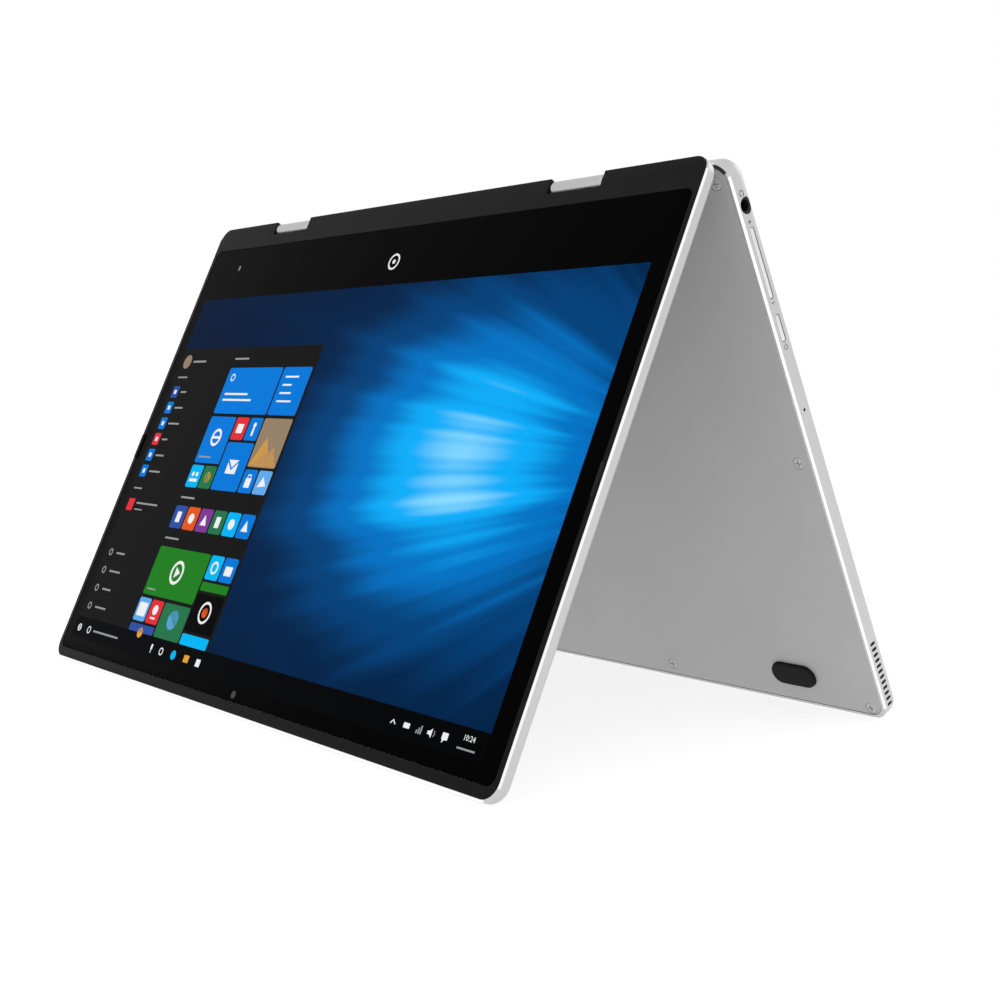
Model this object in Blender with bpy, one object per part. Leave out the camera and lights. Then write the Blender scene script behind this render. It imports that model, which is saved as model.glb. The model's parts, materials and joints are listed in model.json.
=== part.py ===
"""An 11.6 inch convertible laptop computer, standing as a tent on the front edges of its two halves.

The base (keyboard half) leans towards +Y and the lid (display half) leans towards -Y.  A pair of
two-shaft hinges joins them at the top.  Each shaft turns half of the opening angle, because a train
of four small gears in each hinge housing ties the base shaft to the lid shaft.

Lengths below are millimetres; meshes are made in metres.  Each half is drawn in its own frame:
x runs along the hinge, y from the hinge axis to the far edge, and z from the bottom cover up to the
keyboard (base) or from the glass up to the back cover (lid).  When the laptop is closed the two
frames are parallel.  The user's left is +x.
"""
import math

import bmesh
import bpy
from mathutils import Vector

MM = 0.001

# ---- overall sizes
WIDTH = 273.6               # along the hinge
REACH = 184.1               # hinge axis to the front edge of the base
LID_SETBACK = 0.7           # front edge of the lid behind that of the base, when closed
CORNER_R = 6.0              # plan corners of both halves
BASE_THICK = 7.6            # bottom face to deck
LID_THICK = 4.9             # glass face to back face
BASE_REAR = 3.0             # rear edge of the base behind its hinge axis
LID_REAR = 2.6              # hinge edge of the lid behind its hinge axis
BASE_AXIS_Z = 2.95          # base hinge axis above the bottom face
LID_AXIS_Z = 2.45           # lid hinge axis behind the glass face
CLOSED_GAP = 0.7            # deck to glass when closed
OPENING = 310.0             # opening angle of the tent, degrees

# ---- edges
BASE_EDGE_R = 4.0           # rounding under the hand, all round the keyboard side
BASE_CHAMFER = 0.6          # bright cut edge round the bottom
LID_EDGE_R = 2.7            # rounding of the back cover
LID_CHAMFER = 0.5           # bright cut edge round the glass side
CORNER_STEPS = 7
EDGE_STEPS = 5

# ---- clearances
REST_GAP = 0.3              # between pieces that seat on each other
SEAM = 0.15                 # seam round a cover, a button or a port
RUN_GAP = 0.1               # shaft in its bore

# ---- base shell
BASE_WALL = 1.5
DECK = 1.2
CAVITY_SHOULDER = 1.5       # the inside of the deck edge slopes in by this much
COVER_THICK = 1.0
POST_R = 2.0
POST_HOLE_R = 1.1
POST_TOP_HOLE = 4.6
POST_INSET_X = 5.9          # corner screws from the side edge
POST_INSET_Y = 4.0          # corner screws from the front edge
POST_MID_INSET = 6.0        # middle screws from the front edge
POST_REAR_Y = 3.0
POST_MID_X = 43.4

# ---- screws, feet
SCREW_HEAD_R = 1.9
SCREW_SHANK_R = 0.8
SCREW_HEAD_Z = 0.1
SCREW_CONE_TOP = 0.75
SCREW_LENGTH = 4.0
FOOT_LENGTH = 17.8
FOOT_WIDTH = 8.0
FOOT_HEIGHT = 1.3           # below the bottom cover
FOOT_SET = 0.5              # depth of the pocket that holds the foot
FOOT_INSET_X = 34.6
FOOT_INSET_Y = 12.0
FOOT_REAR_Y = 16.0

# ---- keyboard
KEY_MARGIN = 10.0           # side edge to the first key
KEY_UNITS = 15
KEY_PITCH = (WIDTH - 2 * KEY_MARGIN) / KEY_UNITS
KEY_GAP = 2.4               # between neighbouring caps
ROWS_Y = 27.4               # where the first full row starts
PALM_REST = 74.1            # front of the keys to the front edge
KEYS_END = REACH - PALM_REST
ROW_PITCH = (KEYS_END + KEY_GAP - ROWS_Y) / 5
KEY_CLEAR = 0.35            # cap to the window in the deck
KEY_TAPER = 0.4
KEY_TRAVEL = 1.1
FUNCTION_Y = 16.0
FUNCTION_DEPTH = 9.0
WELL_DEPTH = 0.5
WELL_MARGIN = 0.6
WEB_DEPTH = 8.0
WEB_THICK = 0.4
CAP_TOP_DROP = 0.05
KEY_PLATE_THICK = 0.3
KEY_PLATE_MARGIN = 1.5
FULL_ROWS = {
    "key_row_numbers": [1.0] * 13 + [2.0],
    "key_row_upper": [1.5] + [1.0] * 12 + [1.5],
    "key_row_home": [1.75] + [1.0] * 11 + [2.25],
    "key_row_lower": [2.25] + [1.0] * 10 + [2.75],
}
BOTTOM_ROW = [1.25, 1.0, 1.0, 1.25, 5.25, 1.25, 1.0, 1.0, 1.0, 1.0]
SPACE_INDEX = 4

# ---- touchpad
PAD_WIDTH = 98.0
PAD_Y0 = KEYS_END + 10.0
PAD_FRONT = 9.1             # front edge of the pad to the front edge of the base
PAD_CORNER = 2.0
PAD_DROP = 0.1
PAD_FLANGE = 3.5
PAD_BOARD_THICK = 0.5
PAD_TILT = 0.6              # degrees of click

# ---- left side controls
SIDE_Z = 2.75
JACK_Y = 11.1
JACK_Z = 3.4
JACK_R = 2.05
JACK_BORE_R = 1.75
JACK_DEPTH = 14.0
ROCKER_Y = 28.3
ROCKER_LENGTH = 22.0
POWER_Y = 48.4
POWER_LENGTH = 8.6
BUTTON_HEIGHT = 1.9
BUTTON_FLANGE = 1.2
BUTTON_FLANGE_X = 2.1       # outer face of the flange from the side edge
BUTTON_BACK_X = 3.6
BUTTON_INSET = 0.05
MIC_Y = 74.7
MIC_R = 0.5
SLOT_COUNT = 12
SLOT_PITCH = 2.03
SLOT_WIDTH = 1.0
SLOT_HEIGHT = 2.4
SLOT_END = 4.9              # last slot from the front edge

# ---- right side ports: name, y, z, opening width and height, shell wall, depth, corner radius
PORTS = [
    ("usb_c_port", 24.0, 3.0, 8.4, 2.7, 0.3, 8.0, 1.3),
    ("micro_hdmi_port", 40.0, 3.0, 6.5, 2.4, 0.3, 7.5, 0.4),
    ("card_reader", 60.0, 2.8, 11.6, 1.3, 0.4, 8.0, 0.2),
    ("usb_a_port", KEYS_END + 18.0, 3.7, 12.2, 4.2, 0.3, 13.5, 0.3),
]
PORT_FACE = 0.9             # port mouth behind the side edge
PORT_TONGUE = 0.5           # share of the port's mouth that its contact tongue spans, and its depth

# ---- hinges
HINGE_X0 = 70.0
HINGE_X1 = 93.3
HOUSING_END_R = 0.4
HOUSING_WALL = 0.6
HOUSING_CLEAR = 0.33        # gear tips to the inside of the housing
HOUSING_END = 1.5
NOTCH_SIDE = 0.6            # housing end to the side of its notch
NOTCH_FRONT = 0.6           # housing to the bottom of its notch
NOTCH_WALL = 1.25
SHAFT_R = 0.6               # hinge shafts
SHAFT_TAIL = 1.3            # shaft end to the inside of the housing's outer end
WASHER_R = 1.3
WASHER_X0 = 9.0
WASHER_X1 = 17.0
ARM_LENGTH = 36.0
ARM_THICK = 0.9
ARM_BACK = 1.0
BASE_ARM_FRONT = 14.0
LID_ARM_FRONT = 6.5
ARM_HOLE_R = 1.0
GEAR_TEETH = 10
GEAR_X0 = 3.0
GEAR_WIDTH = 3.0
GEAR_ADDENDUM = 0.17
GEAR_DEDENDUM = 0.30
GEAR_TOOTH = 0.30           # tooth thickness on the pitch circle
GEAR_TIP = 0.16
PIN_R = 0.45

# ---- lid
LID_WALL = 0.6              # rim round the bezel
LID_INNER_WALL = 1.3
LID_BACK = 1.0
BEZEL_GAP = 0.1
BEZEL_THICK = 1.2
BEZEL_STRIP = 7.7           # plastic strip from the hinge axis to the glass
BEZEL_EDGE = 0.35           # bevel round the bezel, and along the hinge edge, which it reaches
GLASS_EDGE = 2.7            # glass from the side edge
GLASS_FAR = 4.2             # glass from the far edge
GLASS_CORNER = 3.0
GLASS_DROP = 0.15
GLASS_THICK = 0.7
PANEL_THICK = 2.4
PANEL_EDGE = 4.5
PANEL_FAR = 8.4
CAMERA_WIDTH = 14.0
CAMERA_DEPTH = 3.2
BUMPER_Y0 = 89.4
BUMPER_LENGTH = 10.4
BUMPER_WIDTH = 1.1
BUMPER_PROUD = 0.5
BUMPER_SET = 0.3

# ---- inside the base
BOARD_Z = 1.6
BOARD_THICK = 0.8
CHIP_HEIGHT = 0.45
PART_HEIGHT = 1.2
SPREADER_THICK = 0.45
BOARD_INSET = 14.0          # main board from the right side edge
BOARD_LEFT = 97.5           # main board to the left side edge
BOARD_Y0 = 18.0
BOARD_FRONT = 14.0          # main board to the front of the keys
BATTERY_Z = 1.4
BATTERY_INSET = 32.0
BATTERY_FRONT = 12.5
SPEAKER_INSET = 2.9
SPEAKER_WIDTH = 16.6
SPEAKER_LENGTH = 24.0
SPEAKER_FRONT = 6.7
SPEAKER_TOP = 5.4

# ---- worked out from the above
HALF = WIDTH / 2
LID_REACH = REACH - LID_SETBACK
BOARD_X0 = BOARD_INSET - HALF
BOARD_X1 = HALF - BOARD_LEFT
BOARD_Y1 = KEYS_END - BOARD_FRONT
DECK_UNDER = BASE_THICK - DECK
WEB_TOP = DECK_UNDER - REST_GAP
WEB_BOTTOM = WEB_TOP - WEB_THICK
KEY_PLATE_TOP = WEB_BOTTOM - KEY_TRAVEL - REST_GAP
PAD_Y1 = REACH - PAD_FRONT
AXIS_SPACING = BASE_THICK - BASE_AXIS_Z + CLOSED_GAP + LID_AXIS_Z
GEAR_R = AXIS_SPACING / 6
HOUSING_R = GEAR_R + GEAR_ADDENDUM + HOUSING_CLEAR + HOUSING_WALL
HALF_OPENING = math.radians(OPENING / 2)
NOTCH_X0 = HINGE_X0 - NOTCH_SIDE
NOTCH_X1 = HINGE_X1 + NOTCH_SIDE
NOTCH_Y = HOUSING_R + NOTCH_FRONT
POSTS = [(side * x, y) for side in (1, -1) for x, y in (
    (HALF - POST_INSET_X, POST_REAR_Y),
    (HALF - POST_INSET_X, (REACH - POST_INSET_Y + POST_REAR_Y) / 2),
    (HALF - POST_INSET_X, REACH - POST_INSET_Y),
    (POST_MID_X, REACH - POST_MID_INSET))]
FEET = {
    "foot_front_left": (HALF - FOOT_INSET_X, REACH - FOOT_INSET_Y),
    "foot_front_right": (FOOT_INSET_X - HALF, REACH - FOOT_INSET_Y),
    "foot_rear_left": (HALF - FOOT_INSET_X, FOOT_REAR_Y),
    "foot_rear_right": (FOOT_INSET_X - HALF, FOOT_REAR_Y),
}


# ---------------------------------------------------------------- outlines
def rounded_rect(x0, x1, y0, y1, radius, steps=CORNER_STEPS):
    """Counter-clockwise outline with round corners."""
    points = []
    corners = ((x1, y1, 0), (x0, y1, 90), (x0, y0, 180), (x1, y0, 270))
    for x, y, start in corners:
        cx = x - radius if x == x1 else x + radius
        cy = y - radius if y == y1 else y + radius
        for i in range(steps + 1):
            angle = math.radians(start + 90 * i / steps)
            points.append((cx + radius * math.cos(angle), cy + radius * math.sin(angle)))
    return points


def circle(cu, cv, radius, steps):
    turn = 2 * math.pi / steps
    return [(cu + radius * math.cos(i * turn), cv + radius * math.sin(i * turn)) for i in range(steps)]


def stadium(radius, v0, v1, steps=8):
    """Slot shape round the line from (0, v0) to (0, v1)."""
    upper = [(radius * math.cos(math.pi * i / steps), v1 + radius * math.sin(math.pi * i / steps))
             for i in range(steps + 1)]
    lower = [(-u, v0 + v1 - v) for u, v in upper]
    return upper + lower


def gear_outline(cy, cz, tooth_angle):
    """Gear with one tooth centred on tooth_angle, which turns from +z about +x."""
    tip = GEAR_R + GEAR_ADDENDUM
    root = GEAR_R - GEAR_DEDENDUM
    half_root = math.pi / GEAR_TEETH - 0.5 * GEAR_TOOTH / GEAR_R * 0.75
    half_tip = 0.5 * GEAR_TIP / tip
    half_foot = math.pi / GEAR_TEETH - half_root * 0.72
    points = []
    for i in range(GEAR_TEETH):
        centre = tooth_angle + 2 * math.pi * i / GEAR_TEETH
        for offset, radius in ((-half_foot, root), (-half_tip, tip), (half_tip, tip), (half_foot, root)):
            angle = centre + offset
            points.append((cy - radius * math.sin(angle), cz + radius * math.cos(angle)))
    return points


def edge_levels(thick, chamfer, radius):
    """Heights and insets of a half's edge: a cut edge at z = 0 and a quarter round at z = thick."""
    levels = [(0.0, chamfer), (chamfer, 0.0)]
    for i in range(EDGE_STEPS + 1):
        angle = 0.5 * math.pi * i / EDGE_STEPS
        levels.append((thick - radius + radius * math.sin(angle), radius - radius * math.cos(angle)))
    return levels


BASE_LEVELS = edge_levels(BASE_THICK, BASE_CHAMFER, BASE_EDGE_R)
LID_LEVELS = edge_levels(LID_THICK, LID_CHAMFER, LID_EDGE_R)


# ---------------------------------------------------------------- solids
def point(axis, u, v, along):
    """A point of an outline in the plane across an axis: (x, y) across Z, (y, z) across X."""
    return Vector((u, v, along)) if axis == "Z" else Vector((along, u, v))


def skin(bm, rings):
    """Closed solid through rings of equal count, capped at both ends."""
    rows = [[bm.verts.new(p) for p in ring] for ring in rings]
    count = len(rows[0])
    for low, high in zip(rows, rows[1:]):
        for i in range(count):
            j = (i + 1) % count
            bm.faces.new((low[i], low[j], high[j], high[i]))
    bm.faces.new(rows[0])
    bm.faces.new(rows[-1])


def prism(bm, outline, low, high, axis="Z"):
    skin(bm, [[point(axis, u, v, along) for u, v in outline] for along in (low, high)])


def box(bm, x0, x1, y0, y1, z0, z1):
    prism(bm, [(x0, y0), (x1, y0), (x1, y1), (x0, y1)], z0, z1)


def turned(bm, cu, cv, profile, axis="Z", steps=12):
    """Round solid from (along, radius) pairs; a path that turns back inside leaves a blind bore."""
    skin(bm, [[point(axis, u, v, along) for u, v in circle(cu, cv, radius, steps)]
              for along, radius in profile])


def plate(bm, loops, low, high, axis="Z"):
    """Extruded sheet: the first outline is its edge and the others are holes."""
    edges = []
    for loop in loops:
        verts = [bm.verts.new(point(axis, u, v, low)) for u, v in loop]
        edges += [bm.edges.new((a, b)) for a, b in zip(verts, verts[1:] + verts[:1])]
    filled = bmesh.ops.triangle_fill(bm, edges=edges, use_beauty=True)["geom"]
    faces = [item for item in filled if isinstance(item, bmesh.types.BMFace)]
    grown = bmesh.ops.extrude_face_region(bm, geom=faces)["geom"]
    moved = [item for item in grown if isinstance(item, bmesh.types.BMVert)]
    bmesh.ops.translate(bm, verts=moved, vec=point(axis, 0, 0, high - low))


def half_loft(bm, levels, rear, front=REACH):
    """Outer form of a half, from its edge levels and its rear and front edges."""
    rings = []
    for z, inset in levels:
        outline = rounded_rect(inset - HALF, HALF - inset, inset - rear, front - inset,
                               max(CORNER_R - inset, 0.4))
        rings.append([Vector((x, y, z)) for x, y in outline])
    skin(bm, rings)


# ---------------------------------------------------------------- objects
def clear_scene():
    for obj in list(bpy.data.objects):
        bpy.data.objects.remove(obj)


def material(name, colour, roughness, metallic=0.0):
    made = bpy.data.materials.new(name)
    made.use_nodes = True
    shader = made.node_tree.nodes["Principled BSDF"]
    shader.inputs["Base Color"].default_value = (*colour, 1.0)
    shader.inputs["Roughness"].default_value = roughness
    shader.inputs["Metallic"].default_value = metallic
    return made


def add_object(name, build, body, pivot=None):
    """Mesh from a build function, drawn in its body's frame, with its origin on pivot."""
    bm = bmesh.new()
    build(bm)
    bmesh.ops.recalc_face_normals(bm, faces=bm.faces)
    start = Vector(body["frame_origin"])
    origin = start if pivot is None else Vector(pivot)
    for vert in bm.verts:
        vert.co = (vert.co - origin) * MM
    mesh = bpy.data.meshes.new(name)
    bm.to_mesh(mesh)
    bm.free()
    obj = bpy.data.objects.new(name, mesh)
    bpy.context.scene.collection.objects.link(obj)
    obj.parent = body
    obj.location = (origin - start) * MM
    return obj


def node(name, build, body, finish, pivot=None):
    """A piece of the object."""
    obj = add_object(name, build, body, pivot)
    obj.data.materials.append(finish)
    obj.data.shade_smooth()
    obj.data.set_sharp_from_angle(angle=math.radians(30))
    return obj


def tool(name, build, body):
    """A hidden shape that cuts a piece or is joined to it."""
    obj = add_object(name, build, body)
    obj.hide_render = True
    obj.display_type = "WIRE"
    return obj


def combine(target, operation, *tools):
    for shape in tools:
        modifier = target.modifiers.new(shape.name, "BOOLEAN")
        modifier.operation = operation
        modifier.solver = "EXACT"
        modifier.object = shape


def frame_empty(name, parent, location, angle, frame_origin):
    """An empty on a hinge axis, which carries one half or the hinge link."""
    empty = bpy.data.objects.new(name, None)
    bpy.context.scene.collection.objects.link(empty)
    empty.parent = parent
    empty.location = Vector(location) * MM
    empty.rotation_euler = (angle, 0.0, 0.0)
    empty["frame_origin"] = frame_origin
    return empty


# ---------------------------------------------------------------- standing as a tent
def outline_points(levels, rear, front, axis_z):
    """Edge corners of a half across the hinge, measured from its axis."""
    return [(y, z - axis_z) for z, inset in levels for y in (inset - rear, front - inset)]


def stood_points(angle):
    """Where both halves' edge corners come, measured from the base axis, at a base angle."""
    def turn(points, turned_by, shift):
        cos, sin = math.cos(turned_by), math.sin(turned_by)
        return [(shift[0] + y * cos - z * sin, shift[1] + y * sin + z * cos) for y, z in points]

    link = angle + HALF_OPENING
    lid_axis = (-AXIS_SPACING * math.sin(link), AXIS_SPACING * math.cos(link))
    base = turn(outline_points(BASE_LEVELS, BASE_REAR, REACH, BASE_AXIS_Z), angle, (0.0, 0.0))
    lid = turn(outline_points(LID_LEVELS, LID_REAR, LID_REACH, LID_AXIS_Z), link + HALF_OPENING, lid_axis)
    return base, lid


def stand():
    """Angle of the base and place of its axis, so that both front edges stand on z = 0."""
    low, high = math.radians(-85.0), math.radians(-45.0)
    for _ in range(60):
        middle = 0.5 * (low + high)
        base, lid = stood_points(middle)
        if min(z for _, z in base) > min(z for _, z in lid):
            high = middle
        else:
            low = middle
    base, lid = stood_points(low)
    across = [y for y, _ in base + lid]
    lift = -min(z for _, z in base + lid)
    return low, (0.0, -0.5 * (min(across) + max(across)), lift)


# ---------------------------------------------------------------- base
def notch_shape(bm, grow_x, grow_y, low, high, depth=10.0):
    """Both hinge notches, grown sideways and forwards."""
    for side in (1, -1):
        x0, x1 = sorted((side * (NOTCH_X0 - grow_x), side * (NOTCH_X1 + grow_x)))
        box(bm, x0, x1, -depth, NOTCH_Y + grow_y, low, high)


def shaft_slots(bm, axis_z, depth):
    """Slots that let the shafts through the inner walls of the notches, open to the cover."""
    for side in (1, -1):
        x0, x1 = sorted((side * (NOTCH_X0 - NOTCH_WALL - 0.5), side * (NOTCH_X0 + 0.5)))
        box(bm, x0, x1, -SHAFT_R - REST_GAP, SHAFT_R + REST_GAP, -depth, axis_z + SHAFT_R + REST_GAP)


def key_rows():
    """Every key: row name, left to right number, centre x, centre y, width and depth."""
    rows = [("key_row_function", FUNCTION_Y + FUNCTION_DEPTH / 2, [1.0] * KEY_UNITS, FUNCTION_DEPTH)]
    depth = ROW_PITCH - KEY_GAP
    for i, (name, units) in enumerate(FULL_ROWS.items()):
        rows.append((name, ROWS_Y + i * ROW_PITCH + depth / 2, units, depth))
    rows.append(("bottom", ROWS_Y + 4 * ROW_PITCH + depth / 2, BOTTOM_ROW, depth))
    keys = []
    for name, y, units, row_depth in rows:
        x = KEY_UNITS * KEY_PITCH / 2
        for i, unit in enumerate(units):
            row = name
            if name == "bottom":
                row = "space_bar" if i == SPACE_INDEX else "key_row_bottom_left"
                row = "key_row_bottom_right" if i > SPACE_INDEX else row
            width = unit * KEY_PITCH - KEY_GAP
            keys.append((row, x - unit * KEY_PITCH / 2, y, width, row_depth))
            x -= unit * KEY_PITCH
    return keys


KEYS = key_rows()


def side_cuts(bm):
    """Openings through both side walls of the top case."""
    inner, outer = HALF - BASE_WALL - 3.0, HALF + 2.0

    def slot(side, y0, y1, z0, z1):
        x0, x1 = sorted((side * inner, side * outer))
        box(bm, x0, x1, y0, y1, z0, z1)

    for y, length in ((ROCKER_Y, ROCKER_LENGTH), (POWER_Y, POWER_LENGTH)):
        slot(1, y - length / 2, y + length / 2, SIDE_Z - BUTTON_HEIGHT / 2, SIDE_Z + BUTTON_HEIGHT / 2)
    turned(bm, JACK_Y, JACK_Z, [(inner, JACK_R + SEAM), (outer, JACK_R + SEAM)], "X", 20)
    turned(bm, MIC_Y, SIDE_Z, [(inner, MIC_R), (outer, MIC_R)], "X", 10)
    for _, y, z, width, height, wall, _, radius in PORTS:
        grow = wall + SEAM
        outline = rounded_rect(y - width / 2 - grow, y + width / 2 + grow, z - height / 2 - grow,
                               z + height / 2 + grow, radius + grow, 3)
        prism(bm, outline, -outer, -inner, "X")
    for side in (1, -1):
        for i in range(SLOT_COUNT):
            y = REACH - SLOT_END - SLOT_WIDTH - i * SLOT_PITCH
            slot(side, y, y + SLOT_WIDTH, SIDE_Z - SLOT_HEIGHT / 2, SIDE_Z + SLOT_HEIGHT / 2)


def make_top_case(base, finish):
    """Machined shell: deck and walls in one, open below."""
    def cavity(bm):
        shoulder = BASE_THICK - BASE_EDGE_R
        half_loft(bm, [(-5.0, BASE_WALL), (shoulder, BASE_WALL), (DECK_UNDER, BASE_WALL + CAVITY_SHOULDER)],
                  BASE_REAR)

    def posts(bm):
        for x, y in POSTS:
            post_top = DECK_UNDER + 0.5 * (DECK - WELL_DEPTH)
            turned(bm, x, y, [(COVER_THICK + REST_GAP, POST_R), (post_top, POST_R)])

    def post_holes(bm):
        for x, y in POSTS:
            turned(bm, x, y, [(0.5, POST_HOLE_R), (POST_TOP_HOLE, POST_HOLE_R)])

    def well_and_pad(bm):
        well_x = KEY_UNITS * KEY_PITCH / 2 + WELL_MARGIN
        prism(bm, rounded_rect(-well_x, well_x, FUNCTION_Y - KEY_GAP / 2 - WELL_MARGIN,
                               KEYS_END + KEY_GAP / 2 + WELL_MARGIN, 2.0, 3),
              BASE_THICK - WELL_DEPTH, BASE_THICK + 2.0)
        half_pad = PAD_WIDTH / 2 + REST_GAP
        prism(bm, rounded_rect(-half_pad, half_pad, PAD_Y0 - REST_GAP, PAD_Y1 + REST_GAP, PAD_CORNER, 3),
              DECK_UNDER - 0.5, BASE_THICK + 2.0)

    def windows(bm):
        for _, x, y, width, depth in KEYS:
            half_x = width / 2 + KEY_CLEAR
            half_y = depth / 2 + KEY_CLEAR
            box(bm, x - half_x, x + half_x, y - half_y, y + half_y, DECK_UNDER - 0.2, BASE_THICK - 0.2)

    case = node("top_case", lambda bm: half_loft(bm, BASE_LEVELS, BASE_REAR), base, finish)
    hollow = tool("cavity_tool", cavity, base)
    walls = tool("notch_wall_tool",
                 lambda bm: notch_shape(bm, NOTCH_WALL, NOTCH_WALL, -8.0, BASE_THICK + 2.0), base)
    combine(hollow, "DIFFERENCE", walls)
    combine(case, "DIFFERENCE", hollow)
    combine(case, "UNION", tool("post_tool", posts, base))
    combine(case, "DIFFERENCE",
            tool("post_hole_tool", post_holes, base),
            tool("well_tool", well_and_pad, base),
            tool("window_tool", windows, base),
            tool("side_tool", side_cuts, base),
            tool("notch_tool", lambda bm: notch_shape(bm, 0.0, 0.0, -2.0, BASE_THICK + 2.0), base),
            tool("shaft_slot_tool", lambda bm: shaft_slots(bm, BASE_AXIS_Z, 2.0), base))


def make_bottom_cover(base, finish):
    """Flat cover inside the cut edge, with countersunk holes and pockets for the feet."""
    inset = BASE_WALL + SEAM

    def sheet(bm):
        half_loft(bm, [(0.0, inset), (COVER_THICK, inset)], BASE_REAR)

    def holes(bm):
        for x, y in POSTS:
            turned(bm, x, y, [(-0.5, SCREW_HEAD_R + 0.4), (SCREW_HEAD_Z + 0.25, SCREW_HEAD_R + 0.4),
                              (0.85, POST_HOLE_R), (COVER_THICK + 0.5, POST_HOLE_R)])
        for x, y in FEET.values():
            prism(bm, foot_outline(x, y, SEAM), -1.0, FOOT_SET)

    cover = node("bottom_cover", sheet, base, finish)
    combine(cover, "DIFFERENCE",
            tool("cover_notch_tool",
                 lambda bm: notch_shape(bm, NOTCH_WALL + SEAM, NOTCH_WALL + SEAM, -2.0, 4.0), base),
            tool("cover_hole_tool", holes, base))


def foot_outline(x, y, grow=0.0):
    half_x, half_y = FOOT_LENGTH / 2 + grow, FOOT_WIDTH / 2 + grow
    return rounded_rect(x - half_x, x + half_x, y - half_y, y + half_y, half_y - 0.01, 5)


def make_feet(base, finish):
    for name, (x, y) in FEET.items():
        def foot(bm, x=x, y=y):
            levels = ((-FOOT_HEIGHT, -0.4), (0.4 - FOOT_HEIGHT, 0.0), (FOOT_SET - REST_GAP, 0.0))
            skin(bm, [[Vector((u, v, z)) for u, v in foot_outline(x, y, grow)] for z, grow in levels])

        node(name, foot, base, finish)


def make_screws(base, finish):
    for i, (x, y) in enumerate(POSTS):
        def screw(bm, x=x, y=y):
            turned(bm, x, y, [(SCREW_HEAD_Z, SCREW_HEAD_R), (SCREW_HEAD_Z + 0.25, SCREW_HEAD_R),
                              (SCREW_CONE_TOP, SCREW_SHANK_R), (SCREW_LENGTH, SCREW_SHANK_R)])

        node("bottom_screw_%d" % (i + 1), screw, base, finish)


def make_keys(base, finish):
    """Caps of one row stand on a thin web below the deck, so a row travels as one piece."""
    for row in dict.fromkeys(key[0] for key in KEYS):
        members = [key for key in KEYS if key[0] == row]
        x0 = min(x - width / 2 for _, x, _, width, _ in members)
        x1 = max(x + width / 2 for _, x, _, width, _ in members)
        y = members[0][2]
        web_half = min(WEB_DEPTH, members[0][4]) / 2

        def web(bm, x0=x0, x1=x1, y=y, web_half=web_half):
            box(bm, x0, x1, y - web_half, y + web_half, WEB_BOTTOM, WEB_TOP)

        def caps(bm, members=members):
            for _, x, cy, width, depth in members:
                rings = []
                for z, taper in ((WEB_TOP - WEB_THICK / 2, 0.0), (BASE_THICK - WELL_DEPTH, 0.0),
                                 (BASE_THICK - CAP_TOP_DROP, KEY_TAPER)):
                    half_x, half_y = width / 2 - taper, depth / 2 - taper
                    rings.append([Vector((x + sx * half_x, cy + sy * half_y, z))
                                  for sx, sy in ((-1, -1), (1, -1), (1, 1), (-1, 1))])
                skin(bm, rings)

        obj = node(row, web, base, finish, (0.0, y, WEB_TOP))
        combine(obj, "UNION", tool(row + "_caps_tool", caps, base))


def make_touchpad(base, finish):
    """Glass pad on its board, hinged along the board's rear edge."""
    def pad(bm):
        half = PAD_WIDTH / 2
        board = rounded_rect(-half - PAD_FLANGE, half + PAD_FLANGE, PAD_Y0 - 1.5, PAD_Y1 - REST_GAP,
                             PAD_CORNER, 4)
        face = rounded_rect(-half, half, PAD_Y0, PAD_Y1, PAD_CORNER, 4)
        levels = ((board, WEB_TOP - PAD_BOARD_THICK), (board, WEB_TOP), (face, WEB_TOP),
                  (face, BASE_THICK - PAD_DROP))
        skin(bm, [[Vector((x, y, z)) for x, y in outline] for outline, z in levels])

    node("touchpad", pad, base, finish, (0.0, PAD_Y0, WEB_TOP))


def make_side_controls(base, finish, board_finish, contact_finish):
    def button(bm, y, length):
        """Cap in the wall with a wider flange behind it."""
        half = length / 2 - SEAM
        flange = half + BUTTON_FLANGE
        outline = [(HALF - BUTTON_BACK_X, y - flange), (HALF - BUTTON_FLANGE_X, y - flange),
                   (HALF - BUTTON_FLANGE_X, y - half), (HALF - BUTTON_INSET, y - half),
                   (HALF - BUTTON_INSET, y + half), (HALF - BUTTON_FLANGE_X, y + half),
                   (HALF - BUTTON_FLANGE_X, y + flange), (HALF - BUTTON_BACK_X, y + flange)]
        reach = BUTTON_HEIGHT / 2 - SEAM
        prism(bm, outline, SIDE_Z - reach, SIDE_Z + reach)

    node("volume_rocker", lambda bm: button(bm, ROCKER_Y, ROCKER_LENGTH), base, finish,
         (HALF - BUTTON_FLANGE_X, ROCKER_Y, SIDE_Z))
    node("power_button", lambda bm: button(bm, POWER_Y, POWER_LENGTH), base, finish,
         (HALF - BUTTON_FLANGE_X, POWER_Y, SIDE_Z))
    node("button_board",
         lambda bm: box(bm, HALF - BUTTON_BACK_X - 2.6, HALF - BUTTON_BACK_X - 1.8, JACK_Y + JACK_R + 2.0,
                        POWER_Y + POWER_LENGTH, BOARD_Z, SIDE_Z + 1.6),
         base, board_finish)
    face = HALF - 0.3
    node("audio_jack",
         lambda bm: turned(bm, JACK_Y, JACK_Z, [(face - JACK_DEPTH, JACK_R), (face, JACK_R),
                                                (face, JACK_BORE_R), (face - JACK_DEPTH + 1.5, JACK_BORE_R)],
                           "X", 20),
         base, contact_finish)


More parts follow.
